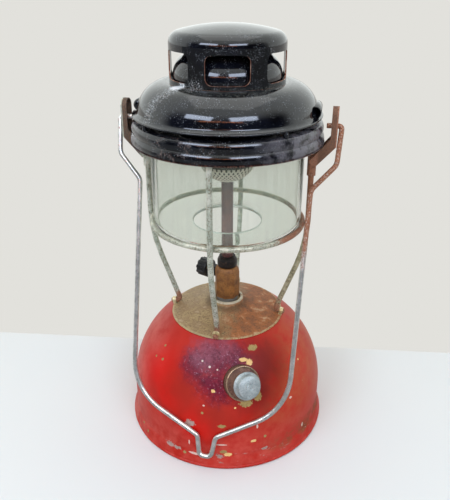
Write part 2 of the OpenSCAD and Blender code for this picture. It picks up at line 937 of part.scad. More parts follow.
module inner_flue() {
    round_x = flue_r - flue_round;
    color("black")
        rotate_extrude()
            difference() {
                union() {
                    translate([seat_hole_r, seat_top])
                        square([flue_r - seat_hole_r, flue_wall_z - seat_top]);
                    intersection() {
                        translate([round_x, flue_wall_z])
                            circle(r = flue_round, $fn = 180);
                        translate([flue_mouth_r, flue_wall_z - eps])
                            square([flue_r - flue_mouth_r, flue_rise]);
                    }
                }
                translate([0, seat_top + hood_t])
                    square([flue_r - hood_t, flue_wall_z - seat_top - hood_t]);
                translate([round_x, flue_wall_z])
                    circle(r = flue_round - hood_t, $fn = 180);
            }
}

// Half section of the chimney, drawn inwards by d: wall, rounded shoulder, flat dome
module cap_section(d) {
    dome_from = (chimney_r - cap_round) * cap_dome_r / (cap_dome_r - cap_round);
    intersection() {
        translate([chimney_r - cap_round, cap_shoulder_z])
            circle(r = cap_round - d);
        translate([dome_from - eps, cap_shoulder_z - eps])
            square(2 * cap_round);
    }
    translate([0, chimney_z - d])
        square([chimney_r - d, cap_shoulder_z - chimney_z + d]);
    intersection() {
        translate([0, cap_shoulder_z - cap_dome_drop])
            circle(r = cap_dome_r - d, $fn = 360);
        translate([0, cap_shoulder_z - eps])
            square([dome_from, 2 * cap_round]);
    }
}

module window_cutter() {
    half = chimney_r * sin(180 / posts) - post_w / 2;
    inside = (chimney_r - 2) * cos(180 / posts) - 2;
    rotate([90, 0, 0])
        translate([0, 0, inside])
            linear_extrude(chimney_r + 2 - inside)
                union() {
                    translate([-half, window_z])
                        square([2 * half, window_h - window_corner]);
                    translate([-half + window_corner, window_z])
                        square([2 * (half - window_corner), window_h]);
                    for (s = [-1, 1])
                        translate([s * (half - window_corner), window_z + window_h - window_corner])
                            circle(r = window_corner, $fn = wire_fn);
                }
}

module chimney_cap() {
    color("midnightblue")
        difference() {
            rotate_extrude()
                union() {
                    difference() {
                        cap_section(0);
                        cap_section(chimney_t);
                        translate([0, chimney_z - 2])
                            square([chimney_r + 1, 2]);
                    }
                    translate([chimney_r - chimney_t, chimney_z])
                        square([3.6, chimney_t]);
                }
            for (i = [0 : posts - 1])
                rotate([0, 0, 11 + 360 * i / posts])
                    window_cutter();
        }
}

// ---- Pump ----

module pump_seat() {
    flange_h = 1.2;
    color("darkgoldenrod")
        on_pump()
            difference() {
                union() {
                    translate([0, 0, well_floor - 6])
                        cylinder(h = neck_top - well_floor + 6, r = neck_r);
                    translate([0, 0, well_floor - tank_t - flange_h - seat_gap])
                        cylinder(h = flange_h, r = neck_r + 2.4);
                }
                translate([0, 0, well_floor - 7])
                    cylinder(h = neck_top - well_floor + 8, r = barrel_r + seat_gap);
            }
}

module pump_barrel() {
    color("goldenrod")
        on_pump()
            difference() {
                union() {
                    translate([0, 0, neck_top - barrel_l])
                        cylinder(h = barrel_l, r = barrel_r);
                    translate([0, 0, neck_top + seat_gap])
                        cylinder(h = barrel_flange_t, r = neck_r);
                    translate([0, 0, neck_top - 1])
                        cylinder(h = 1 + seat_gap, r = barrel_r);
                }
                translate([0, 0, neck_top - barrel_l + 1.2])
                    cylinder(h = barrel_l + 2, r = cup_r);
                translate([0, 0, neck_top - barrel_l - 1])
                    cylinder(h = 4, r = 2, $fn = wire_fn);
            }
}

module pump_washer() {
    color("dimgray")
        on_pump()
            ring(neck_top + barrel_flange_t + 2 * seat_gap, pump_washer_t, neck_r, cup_r);
}

// Knurled cap that screws over the neck and guides the rod
module pump_cap() {
    knurls = 36;
    color("peru")
        on_pump()
            difference() {
                translate([0, 0, -cap_h])
                    cylinder(h = cap_h, r = cap_r);
                translate([0, 0, -cap_recess])
                    cylinder(h = 2 * cap_recess, r = cap_r - 1.1);
                translate([0, 0, -cap_h - 1])
                    cylinder(h = cap_h + 1 - cap_recess - cap_face_t, r = neck_r + seat_gap);
                translate([0, 0, -cap_h])
                    cylinder(h = cap_h + 1, r = rod_shaft_r + run_gap, $fn = wire_fn);
                for (i = [0 : knurls - 1])
                    rotate([0, 0, 360 * i / knurls])
                        translate([cap_r + 0.3, 0, -cap_h + 1])
                            cylinder(h = cap_h - 2, r = 0.7, $fn = 4);
            }
}

module pump_valve() {
    foot_z = neck_top - barrel_l;
    color("goldenrod")
        on_pump()
            difference() {
                union() {
                    translate([0, 0, foot_z - 9])
                        cylinder(h = 9 - seat_gap, r = 4.5, $fn = 6);
                    translate([0, 0, foot_z - eps - seat_gap])
                        cylinder(h = 1, r = 2 - seat_gap, $fn = wire_fn);
                }
                translate([0, 0, foot_z - 8])
                    cylinder(h = 6, r = 2.6, $fn = wire_fn);
                translate([0, 0, foot_z - 10])
                    cylinder(h = 14, r = 1, $fn = wire_fn);
            }
}

module valve_pip() {
    foot_z = neck_top - barrel_l;
    color("black")
        on_pump()
            translate([0, 0, foot_z - 2 - 2.5])
                cylinder(h = 2.5 - run_gap, r = 2.6 - run_gap, $fn = wire_fn);
}

module pump_rod() {
    color("silver")
        on_pump()
            translate([0, 0, piston_z - 5])
                cylinder(h = knob_gap - 1.5 - piston_z + 5 + 3, r = rod_shaft_r, $fn = wire_fn);
}

module pump_knob() {
    color("gainsboro")
        on_pump()
            difference() {
                union() {
                    translate([0, 0, knob_gap - 1.6])
                        cylinder(h = 1.6, r = knob_flange_r);
                    translate([0, 0, 0.6])
                        cylinder(h = knob_gap - 1, r = 5);
                    translate([0, 0, knob_gap - 0.5])
                        cylinder(h = knob_h - 0.3, r = knob_r);
                    translate([0, 0, knob_gap + knob_h - 0.8])
                        cylinder(h = 0.8, r1 = knob_r, r2 = knob_r - 0.7);
                }
                translate([0, 0, -1])
                    cylinder(h = knob_gap + 2.5 + seat_gap, r = rod_shaft_r + seat_gap, $fn = wire_fn);
                translate([0, 0, knob_gap + knob_h - 0.4])
                    ring(0, 1, 2.6, 1.5);
            }
}

module piston_cup() {
    color("saddlebrown")
        on_pump()
            difference() {
                translate([0, 0, piston_z - cup_h / 2])
                    cylinder(h = cup_h, r = cup_r - run_gap);
                translate([0, 0, piston_z - cup_h])
                    cylinder(h = cup_h - 1.5 + cup_h / 2, r = cup_r - 1.4);
                translate([0, 0, piston_z - cup_h])
                    cylinder(h = 2 * cup_h, r = rod_shaft_r + seat_gap, $fn = wire_fn);
            }
}

module piston_nut() {
    color("goldenrod")
        on_pump()
            difference() {
                translate([0, 0, piston_z - cup_h / 2 + 1])
                    cylinder(h = cup_h - 2.5 - 2 * seat_gap, r = 5, $fn = 6);
                translate([0, 0, piston_z - cup_h])
                    cylinder(h = 2 * cup_h, r = rod_shaft_r + seat_gap, $fn = wire_fn);
            }
}

// ---- Control wheel and pricker ----

module control_wheel() {
    flutes = 10;
    color("black")
        on_spindle()
            difference() {
                translate([0, 0, wheel_from])
                    cylinder(h = wheel_l, r = wheel_r);
                translate([0, 0, wheel_from - 1])
                    cylinder(h = 4, r = wheel_r - 1.6);
                translate([0, 0, wheel_from - 2])
                    cylinder(h = wheel_l, r = spindle_r + seat_gap, $fn = wire_fn);
                for (i = [0 : flutes - 1])
                    rotate([0, 0, 360 * i / flutes])
                        translate([wheel_r + 0.6, 0, wheel_from + 1.5])
                            cylinder(h = wheel_l, r = 1.5, $fn = wire_fn);
            }
}

// The crank pin at the inner end works in the pricker's yoke
module control_spindle() {
    color("goldenrod")
        on_spindle() {
            translate([0, 0, spindle_in])
                cylinder(h = wheel_from + wheel_l - 3 - spindle_in, r = spindle_r, $fn = wire_fn);
            translate([0, -crank_throw + eps, -1.4])
                cylinder(h = spindle_in + 1.4 + 0.5, r = crank_r - eps, $fn = wire_fn);
        }
}

module pricker_rod() {
    slot_h = 2 * (crank_r + 0.4);
    slot_w = 2 * (crank_throw + crank_r + 0.3);
    yoke_t = 1.6;
    color("silver") {
        on_spindle()
            translate([0, -crank_throw, -yoke_t / 2])
                linear_extrude(yoke_t)
                    difference() {
                        square([slot_w + 1.8, slot_h + 2], center = true);
                        square([slot_w, slot_h], center = true);
                    }
        translate([0, 0, spindle_z - crank_throw + slot_h / 2 + 0.5])
            cylinder(h = tube_top - pricker_lift - spindle_z + crank_throw - slot_h / 2, r = rod_r, $fn = wire_fn);
        translate([0, 0, tube_top - pricker_lift])
            cylinder(h = pricker_lift + 3.2, r = needle_r, $fn = wire_fn);
    }
}

tank_shell();
tank_bottom();
tank_boss();
pickup_tube();
heat_plate();
boss_washer();
control_body();
gland_nut();
vaporiser_nut();
vaporiser_tube();
jet_nipple();
burner_body();
nozzle_cap();
glass_globe();
support_ring();
leg_front();
leg_back();
leg_left();
leg_right();
ear_left();
ear_right();
pump_seat();
pump_barrel();
pump_washer();
pump_cap();
pump_valve();
hood_dome();
hood_skirt();
hood_spacers();
inner_flue();
chimney_cap();
bail();
pump_rod();
pump_knob();
piston_cup();
piston_nut();
control_wheel();
control_spindle();
pricker_rod();
valve_pip();
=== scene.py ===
import math
import bmesh
import bpy
from mathutils import Matrix, Vector


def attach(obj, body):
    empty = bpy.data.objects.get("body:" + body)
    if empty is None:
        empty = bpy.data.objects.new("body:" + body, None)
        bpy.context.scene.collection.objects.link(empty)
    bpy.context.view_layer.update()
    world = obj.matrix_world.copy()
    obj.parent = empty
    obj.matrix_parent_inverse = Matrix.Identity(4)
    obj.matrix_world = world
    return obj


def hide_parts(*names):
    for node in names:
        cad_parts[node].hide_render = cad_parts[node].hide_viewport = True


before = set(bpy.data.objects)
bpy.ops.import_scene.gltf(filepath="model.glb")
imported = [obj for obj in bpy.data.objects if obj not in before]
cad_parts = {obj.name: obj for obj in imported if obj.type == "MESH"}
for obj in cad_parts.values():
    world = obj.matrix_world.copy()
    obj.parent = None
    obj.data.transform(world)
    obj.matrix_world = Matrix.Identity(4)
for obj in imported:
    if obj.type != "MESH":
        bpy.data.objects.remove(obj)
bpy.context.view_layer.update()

# Lengths are in millimetres and angles in degrees. The front is -Y, and the dictionary above each piece
# holds what can be changed in it.
mm = 0.001
tree = None   # node tree that the next functions add to


# sRGB hex code as linear colour
def colour(code):
    def linear(pair):
        v = int(pair, 16) / 255
        return v / 12.92 if v <= 0.04045 else ((v + 0.055) / 1.055) ** 2.4
    return (linear(code[1:3]), linear(code[3:5]), linear(code[5:7]), 1.0)


# Adds a node; an input may be a value, a hex colour or another node's output
def addNode(kind, inputs=None, **settings):
    made = tree.nodes.new("ShaderNode" + kind)
    for key, value in settings.items():
        setattr(made, key, value)
    for key, value in (inputs or {}).items():
        if isinstance(value, bpy.types.NodeSocket):
            tree.links.new(value, made.inputs[key])
        else:
            made.inputs[key].default_value = colour(value) if isinstance(value, str) else value
    return made


# Sum, product or largest of any number of values and masks
def combined(operation, values):
    result = values[0]
    for value in values[1:]:
        result = addNode("Math", {0: result, 1: value}, operation=operation).outputs[0]
    return result


def total(*values):
    return combined("ADD", values)


def times(*values):
    return combined("MULTIPLY", values)


def most(*values):
    return combined("MAXIMUM", values)


# Distance from an axis, from the two coordinates across it
def fromAxis(a, b):
    return addNode("Math", {0: total(times(a, a), times(b, b)), 1: 0.5}, operation="POWER").outputs[0]


# Object coordinates in millimetres: the whole vector, then X, Y and Z
def millimetres():
    where = addNode("TexCoord").outputs["Object"]
    place = addNode("VectorMath", {0: where, "Scale": 1000.0}, operation="SCALE").outputs[0]
    return place, *addNode("SeparateXYZ", {0: place}).outputs


def stretched(place, x, y, z):
    return addNode("VectorMath", {0: place, 1: (x, y, z)}, operation="MULTIPLY").outputs[0]


# Noise whose largest features are about size millimetres across
def noise(place, size, detail=4.0, roughness=0.55, seed=0.0):
    away = (seed, seed * 1.7, seed * 0.6)
    moved = addNode("VectorMath", {0: place, 1: away}, operation="ADD").outputs[0]
    inputs = {"Vector": moved, "Scale": 1.0 / size, "Detail": detail, "Roughness": roughness}
    return addNode("TexNoise", inputs).outputs["Fac"]


# Smooth mask that is 0 where the value is low and 1 where it is high
def step(value, low, high):
    return addNode("MapRange", {"Value": value, "From Min": low, "From Max": high},
                   interpolation_type="SMOOTHSTEP").outputs["Result"]


# 1 inside a ball round the centre; the wobble makes its edge ragged, and flat squashes it in height
def spot(place, centre, radius, wobble, ragged=1.0, soft=0.35, flat=1.0):
    if flat != 1.0:
        place = stretched(place, 1.0, 1.0, flat)
        centre = (centre[0], centre[1], centre[2] * flat)
    away = addNode("VectorMath", {0: place, 1: centre}, operation="DISTANCE").outputs["Value"]
    reach = ragged * radius
    shift = addNode("Math", {0: wobble, 1: -2.0 * reach, 2: reach}, operation="MULTIPLY_ADD")
    return step(total(away, shift.outputs[0]), radius * (1 + soft), radius * (1 - soft))


# Small marks from a table of centre, radius and flatness
def spots(place, marks, wobble, ragged=0.7, soft=0.15):
    return most(*[spot(place, at, radius, wobble, ragged, soft, flat) for at, radius, flat in marks])


# Broad patches from a table of centre, radius, raggedness and softness
def patches(place, marks, wobble):
    return most(*[spot(place, at, radius, wobble, ragged, soft) for at, radius, ragged, soft in marks])


# Mix of two colours by a mask
def blended(mask, first, second):
    return addNode("Mix", {"Factor": mask, 6: first, 7: second}, data_type="RGBA").outputs[2]


# Starts a material and sends the nodes that follow to it
def newMaterial(name):
    global tree
    made = bpy.data.materials.new(name)
    made.use_nodes = True
    tree = made.node_tree
    tree.nodes.clear()
    return made


# Ends a material: a ground of (colour, roughness, metallic) and coats of (mask, colour, roughness, metallic)
def finishWith(ground, coats, height, depth=0.1, shine=None):
    shade, rough, metal = ground
    for mask, coatShade, coatRough, coatMetal in coats:
        shade = blended(mask, shade, coatShade)
        rough = addNode("Mix", {"Factor": mask, 2: rough, 3: coatRough}).outputs[0]
        if coatMetal != metal:
            metal = addNode("Mix", {"Factor": mask, 2: metal, 3: coatMetal}).outputs[0]
    bump = addNode("Bump", {"Height": height, "Distance": depth * mm, "Strength": 1.0})
    inputs = {"Base Color": shade, "Roughness": rough, "Metallic": metal, "Normal": bump.outputs["Normal"]}
    surface = addNode("BsdfPrincipled", {**inputs, **(shine or {})})
    addNode("OutputMaterial", {"Surface": surface.outputs[0]})


# Bare, tan and pale marks in the tank's enamel: place, radius and how flat each one is
chipMarks = [
    ((27.2, -42.3, 87.3), 3.6, 2.2), ((-39.6, -41.9, 79.8), 1.0, 1.0), ((-46.4, -44.3, 71.1), 0.8, 1.0),
    ((-39.8, -49.2, 72.4), 1.1, 1.0), ((34.6, -61.2, 59.6), 3.0, 0.7), ((27.0, -66.4, 55.6), 4.6, 1.7),
    ((10.5, -75.0, 38.6), 3.4, 2.6), ((-17.9, -75.9, 8.7), 1.4, 1.0), ((12.3, -75.4, 14.4), 2.6, 1.6),
    ((41.3, -64.0, 24.9), 1.2, 1.0), ((-3.8, -74.0, 47.9), 0.9, 1.0), ((-58.6, -51.5, 8.9), 1.3, 1.0),
    ((-52.8, -57.5, 6.6), 1.1, 1.0), ((20.0, 70.0, 48.0), 3.0, 1.8), ((-50.0, 52.0, 52.0), 2.2, 1.0),
    ((68.0, 30.0, 40.0), 2.6, 1.6), ((-72.0, 22.0, 30.0), 2.0, 1.2)]
creamMarks = [
    ((22.1, -51.0, 82.1), 3.1, 2.6), ((26.4, -50.8, 80.3), 2.3, 1.0), ((15.4, -74.9, 12.0), 3.2, 2.0),
    ((33.5, -68.4, 22.9), 2.3, 1.7), ((59.9, -25.5, 69.5), 0.8, 1.0), ((3.1, -68.1, 64.1), 1.3, 1.0),
    ((19.6, -69.9, 53.0), 0.8, 1.0)]
whiteMarks = [
    ((-9.6, -75.9, 9.6), 4.6, 6.0), ((-14.1, -74.9, 18.8), 0.6, 0.3), ((10.6, -75.5, 21.2), 4.0, 6.0),
    ((57.4, -46.2, 49.3), 1.3, 1.4), ((40.7, -63.3, 42.0), 0.8, 0.45), ((35.7, -67.1, 35.9), 0.8, 0.45),
    ((67.1, -36.2, 15.8), 1.0, 0.5), ((-3.1, -72.4, 53.5), 0.8, 1.4), ((31.0, -53.7, 74.3), 0.7, 1.0),
    ((34.4, -56.7, 67.5), 0.4, 0.4), ((-7.3, -56.4, 80.7), 0.7, 1.0), ((-1.4, -59.0, 78.2), 0.8, 1.0),
    ((4.5, -59.8, 77.1), 0.6, 1.0), ((-30.0, 68.0, 36.0), 2.2, 3.0)]
bareMarks = [
    ((-30.8, -71.9, 10.2), 3.4, 2.0), ((-24.6, -74.3, 9.8), 3.2, 2.4), ((9.6, -77.0, 10.3), 3.0, 2.2),
    ((41.2, -64.1, 13.1), 2.5, 2.0), ((-13.4, -74.8, 37.6), 3.8, 1.5), ((-31.7, -68.6, 39.6), 1.6, 1.5)]


# Broad patches of other reds and purples in it: place, radius, how ragged and how soft the edge is
brightPatches = [((-46, -50, 64), 17, 0.5, 0.9), ((-32, -64, 54), 13, 0.5, 0.9),
                 ((-6, -76, 36), 13, 0.6, 0.9)]
dimPatches = [((-20, -64, 60), 13, 0.8, 0.9), ((4, -74, 48), 13, 0.8, 0.9)]
deepPatches = [((34, -48, 78), 18, 0.6, 0.9), ((32, -60, 62), 13, 0.6, 0.9)]
purplePatches = [((2, -56, 81), 15, 0.8, 0.8), ((-11, -57, 77), 11, 0.8, 0.8),
                 ((4, -65, 68), 12, 0.9, 0.8), ((14, -52, 83), 10, 0.9, 0.8)]
hazePatches = [((-5, -50, 86), 11, 0.9, 0.7), ((8, -48, 88), 8, 0.9, 0.7)]


# Red stoving enamel of the tank, faded and only half glossy: pink low down, purple-brown where it was hot
# under the plate, brown on the right, a pale pink painted sheen along the left side, chipped to a tan primer
# and scraped along the skirt
def redEnamel():
    made = newMaterial("red enamel")
    place, x, y, z = millimetres()
    broad = noise(place, 38, 3, 0.5)
    medium = noise(place, 9, 5, 0.62, 3)
    fine = noise(place, 1.6, 3, 0.6, 7)
    grain = noise(place, 0.7, 2, 0.6, 11)
    tint = blended(step(broad, 0.35, 0.7), "#a81e12", "#b42c20")
    pink = times(step(z, 46, 20), step(medium, 0.3, 0.8))
    tint = blended(times(pink, 0.6), tint, "#c85a4e")
    tint = blended(times(patches(place, brightPatches, medium), 0.95), tint, "#c80e04")
    brown = times(step(x, 26, 56), step(z, 12, 52), step(medium, 0.2, 0.7))
    tint = blended(times(brown, 0.8), tint, "#ac5232")
    tint = blended(times(patches(place, dimPatches, medium), 0.7), tint, "#8c2418")
    tint = blended(times(patches(place, deepPatches, medium), 0.85), tint, "#641614")
    # Painted sheen: a pale pink reflection painted along the tank's left side
    sheenSide = most(times(step(z, 60, 84), step(x, -30, -58)), step(x, -44, -70))
    leftSheen = times(sheenSide, step(medium, 0.2, 0.7))
    tint = blended(times(leftSheen, 0.6), tint, "#cc6e62")
    purple = patches(place, purplePatches, medium)
    haze = patches(place, hazePatches, medium)
    mottle = times(purple, step(noise(place, 3.2, 5, 0.7, 17), 0.45, 0.6))
    speck = times(purple, step(fine, 0.54, 0.64), step(grain, 0.5, 0.58))
    dust = times(step(grain, 0.74, 0.78), step(fine, 0.56, 0.62))
    chips = spots(place, chipMarks, fine)
    cream = spots(place, creamMarks, fine)
    white = spots(place, whiteMarks, fine, 0.5)
    bare = spots(place, bareMarks, fine, 1.0)
    scratch = noise(stretched(place, 0.22, 0.22, 1.0), 2.2, 4, 0.7, 5)
    lower = times(step(z, 16, 11), step(z, 3.2, 5))
    scraped = times(lower, step(scratch, 0.6, 0.64), step(medium, 0.5, 0.6))
    footEdge = times(step(z, 2.6, 0.6), step(fine, 0.52, 0.6))
    rusty = times(step(z, 25, 17), step(z, 6, 10), step(x, 36, 62), step(medium, 0.36, 0.6))
    streak = noise(stretched(place, 1.0, 1.0, 0.3), 1.3, 3, 0.6, 21)
    scuff = times(step(streak, 0.75, 0.765), step(medium, 0.5, 0.62))
    coats = [
        (times(purple, 0.85), "#56122e", 0.4, 0.0),
        (times(haze, 0.55), "#86505e", 0.5, 0.0),
        (times(mottle, 0.6), "#43101e", 0.4, 0.0),
        (times(speck, 0.45), "#b48a9c", 0.45, 0.0),
        (times(rusty, 0.85), "#7c4426", 0.7, 0.0),
        (times(dust, 0.25), "#cc9080", 0.5, 0.0),
        (chips, blended(fine, "#6e6238", "#b89c64"), 0.6, 0.1),
        (cream, blended(fine, "#c89c5c", "#ecc888"), 0.5, 0.0),
        (times(bare, 0.85), blended(fine, "#8e7466", "#c8beb4"), 0.35, 0.4),
        (times(white, 0.75), "#e0cfc0", 0.4, 0.1),
        (times(scuff, 0.8), "#d2bcae", 0.4, 0.2),
        (times(scraped, 0.85), "#a89c90", 0.35, 0.6),
        (times(footEdge, 0.6), "#8a5c40", 0.6, 0.3)]
    wear = most(chips, cream, scraped, bare)
    relief = total(times(medium, 0.25), times(wear, -1.0))
    shine = {"Coat Weight": 0.03, "Coat Roughness": 0.06, "Specular IOR Level": 0.15}
    finishWith((tint, 0.42, 0.0), coats, relief, 0.12, shine)
    return made


# White scuffs left of the chimney's foot: the first is a solid patch, the others are sprays of specks
scuffMarks = [
    ((-25.4, -34.2, 270.6), 3.4), ((-27.5, -38.5, 269.3), 5.0), ((-31.5, -40.5, 267.0), 4.6),
    ((-35.6, -41.0, 264.2), 4.4), ((-39.4, -42.4, 259.6), 4.8), ((-42.0, -43.2, 255.0), 5.0),
    ((-14.0, -38.0, 270.6), 5.0)]


# Black vitreous enamel of the hood, glossy like glass: pale specks and a film of dust, and on the skirt
# a grey painted sheen at both sides, brown wear on the left and rust along the lower edge
def blackEnamel(name, sheenAndWear=False):
    made = newMaterial(name)
    place, x, y, z = millimetres()
    broad = noise(place, 22, 3, 0.5)
    medium = noise(place, 6, 5, 0.6, 4)
    fine = noise(place, 1.1, 3, 0.6, 9)
    grain = noise(place, 0.5, 2, 0.55, 13)
    tint = blended(step(broad, 0.35, 0.65), "#060608", "#0b0d14")
    speckle = times(step(grain, 0.63, 0.69), step(medium, 0.42, 0.6))
    dust = step(medium, 0.5, 0.75)
    white = most(*[spot(place, centre, radius, fine, 1.0, 0.5) for centre, radius in scuffMarks])
    white = times(white, step(grain, 0.55, 0.63), 0.7)
    heart = spot(place, scuffMarks[0][0], 4.2, fine, 1.0, 0.3)
    crown = times(step(z, domeTop - 3.4, domeTop - 1.0), step(z, domeTop + 1.5, domeTop + 0.3),
                  step(fine, 0.44, 0.58))
    coats = [
        (times(dust, 0.1), "#56585c", 0.45, 0.0),
        (times(speckle, 0.7), "#a2a8ac", 0.5, 0.0),
        (times(crown, 0.25), "#6a6c64", 0.6, 0.0),
        (times(most(white, heart), 0.9), "#e6eaea", 0.6, 0.0)]
    if sheenAndWear:
        # Painted sheen: lighter grey painted towards both sides of the skirt, where it turns away from the
        # front
        ends = most(step(x, 20, 58), times(step(x, -40, -60), 0.9))
        side = times(ends, step(medium, 0.32, 0.6))
        coats.append((times(side, 0.6), "#77747a", 0.55, 0.0))
        worn = times(step(x, 30, -30), step(medium, 0.52, 0.66), step(fine, 0.4, 0.6))
        coats.append((times(worn, 0.5), "#6e5c54", 0.6, 0.0))
        edge = times(step(z, rimZ + 1.6, rimZ + 0.3), step(fine, 0.45, 0.6))
        coats.append((times(edge, 0.8), "#7c5040", 0.7, 0.0))
    relief = total(times(broad, 0.6), times(medium, 0.25))
    finishWith((tint, 0.09, 0.0), coats, relief, 0.15)
    return made


# Sheet iron where the enamel stops at a cut edge: matt brown rust
def rustEdge():
    made = newMaterial("rusty cut edge")
    place = millimetres()[0]
    medium = noise(place, 3, 4, 0.6)
    finishWith(("#7a4a34", 0.8, 0.0), [(step(medium, 0.45, 0.6), "#b08a74", 0.7, 0.0)], medium, 0.1)
    return made


# Zinc-plated steel: dull pale grey-green where the plating holds, brown rust in patches. Rust can be added
# on the right, at the feet and above a height, and painted shade with brown dirt within the fold of an ear.
def platedWire(name, rust, right=0.0, shine=0.42, feet=0.0, above=0.0, foldShadeAndDirt=0.0,
               tones=("#9ca392", "#cacbbc")):
    made = newMaterial(name)
    place, x, y, z = millimetres()
    medium = noise(place, 8, 5, 0.65)
    fine = noise(place, 1.0, 4, 0.65, 5)
    tint = blended(step(medium, 0.35, 0.65), *tones)
    more = total(times(step(x, 26, 50), right), times(step(z, 118, 96), feet),
                 times(step(z, 160, 176), above))
    sideways = addNode("Math", {0: x}, operation="ABSOLUTE").outputs[0]
    # Painted shade: near-black painted inside the ear's fold, mixed by noise with brown dirt
    shadeAndDirtInFold = times(step(sideways, 74.3, 73.7), step(sideways, 62.5, 64.0), foldShadeAndDirt)
    level = total(times(fine, 0.4), times(medium, 0.6), more)
    rusted = step(level, 0.74 - rust, 0.84 - rust)
    dark = times(rusted, step(fine, 0.5, 0.65))
    pits = times(step(fine, 0.5, 0.6), step(medium, 0.7, 0.45), 0.9)
    coats = [
        (pits, "#6a6048", 0.7, 0.1),
        (times(rusted, 0.92), "#8c5638", 0.75, 0.0),
        (times(dark, 0.75), "#5c3424", 0.85, 0.0),
        (shadeAndDirtInFold, blended(step(fine, 0.4, 0.6), "#2c1a12", "#6a4c34"), 0.8, 0.0)]
    relief = total(times(fine, 0.4), rusted)
    finishWith((tint, shine, 0.35), coats, relief, 0.06)
    return made


# Zinc-plated wire of the bail, brighter than the cage: rusty high up on the right, a little on the left
def bailWire():
    made = newMaterial("bail wire")
    place, x, y, z = millimetres()
    medium = noise(place, 6, 4, 0.6)
    fine = noise(place, 0.9, 4, 0.65, 5)
    tint = blended(step(medium, 0.35, 0.65), "#c2c3bd", "#e4e2dc")
    onRight = times(step(total(z, times(medium, 50.0)), 172, 196), step(x, 20, 50))
    onLeft = times(step(z, 196, 210), step(x, -20, -50), step(medium, 0.55, 0.66))
    rusted = times(most(times(onLeft, 0.7), onRight), step(fine, 0.25, 0.5))
    seam = times(step(fine, 0.56, 0.66), 0.5)
    coats = [
        (seam, "#6e6a64", 0.6, 0.5),
        (rusted, "#94603f", 0.7, 0.1),
        (times(rusted, step(fine, 0.5, 0.62)), "#6c3c28", 0.8, 0.0)]
    relief = total(times(fine, 0.5), rusted)
    finishWith((tint, 0.28, 0.8), coats, relief, 0.06)
    return made


# Brass, steel or cast metal gone dull, mottled in two tones, with matt dirt in spots and patches
def dirtyMetal(name, light, dark, rough, metal, grime, depth=0.08):
    made = newMaterial(name)
    place = millimetres()[0]
    medium = noise(place, 5, 5, 0.6)
    fine = noise(place, 0.9, 3, 0.6, 6)
    tint = blended(step(medium, 0.35, 0.65), light, dark)
    coats = [
        (times(step(fine, 0.5, 0.68), 0.6), grime, 0.75, metal * 0.3),
        (times(step(medium, 0.6, 0.7), 0.5), grime, 0.8, 0.0)]
    finishWith((tint, rough, metal), coats, total(medium, times(fine, 0.5)), depth)
    return made


# Steel plate stained by heat: dirty beige on the left, orange rust on the right, soot round the hub, and
# a paler rub on the hub's rim and the outer edge
def plateSteel():
    made = newMaterial("heat-stained plate")
    place, x, y, z = millimetres()
    medium = noise(place, 7, 6, 0.65)
    fine = noise(place, 1.2, 4, 0.65, 6)
    tint = blended(step(medium, 0.3, 0.7), "#b09668", "#86694a")
    rightHalf = step(total(x, times(medium, 26.0)), 6, 30)
    radius = fromAxis(x, y)
    edge = step(radius, plate["radius"] - 1.7, plate["radius"] - 1.1)
    sooty = times(step(radius, 20, 13.5), step(z, hubZ + 2.5, hubZ + 0.5))
    rim = times(step(z, hubTop - 1.6, hubTop - 0.8), step(medium, 0.62, 0.5))
    coats = [
        (times(rightHalf, 0.85), blended(step(medium, 0.36, 0.6), "#7c4020", "#a8602e"), 0.7, 0.1),
        (times(step(fine, 0.5, 0.62), step(medium, 0.66, 0.4), 0.7), "#54402c", 0.8, 0.1),
        (times(step(medium, 0.56, 0.68), 0.6), "#c8b088", 0.6, 0.1),
        (times(sooty, 0.6), "#4c3824", 0.8, 0.1),
        (times(rim, 0.85), "#c6bea4", 0.45, 0.3),
        (times(edge, step(fine, 0.4, 0.55), 0.8), "#b8a67c", 0.4, 0.5)]
    finishWith((tint, 0.55, 0.15), coats, total(medium, times(fine, 0.5)), 0.12)
    return made


# Clear blown glass, thin enough to hardly bend what is behind it: a film of dust in upright streaks that is
# thicker low down, and a ground, frosted lip round the hole in its bottom
def clearGlass():
    made = newMaterial("clear glass")
    place, x, y, z = millimetres()
    clean = addNode("BsdfPrincipled", {
        "Base Color": "#f1f4f0", "Roughness": 0.0, "IOR": 1.12, "Transmission Weight": 1.0})
    film = addNode("BsdfDiffuse", {"Color": "#b4baac"})
    clear = addNode("BsdfTransparent", {"Color": "#e8efe8"})
    streaks = noise(stretched(place, 1.0, 1.0, 0.12), 5, 4, 0.65)
    wipes = noise(place, 1.4, 4, 0.7, 8)
    wall = step(z, glassZ + 2.6, glassZ + 6)
    low = times(wall, step(z, glassZ + 24, glassZ + 6))
    dust = total(times(wall, step(streaks, 0.42, 0.7), 0.05), times(wall, 0.06),
                 times(low, step(wipes, 0.45, 0.7), 0.08), 0.015)
    dusty = addNode("MixShader", {0: dust, 1: clean.outputs[0], 2: film.outputs[0]})
    shadow = addNode("LightPath").outputs["Is Shadow Ray"]   # the glass lets light through
    body = addNode("MixShader", {0: shadow, 1: dusty.outputs[0], 2: clear.outputs[0]})
    ground = addNode("BsdfDiffuse", {"Color": "#d0d4cb"})
    frosted = addNode("MixShader", {0: 0.4, 1: ground.outputs[0], 2: clear.outputs[0]})
    atLip = step(fromAxis(x, y), glass["hole"] + 0.9, glass["hole"] + 0.5)
    whole = addNode("MixShader", {0: atLip, 1: body.outputs[0], 2: frosted.outputs[0]})
    addNode("OutputMaterial", {"Surface": whole.outputs[0]})
    return made
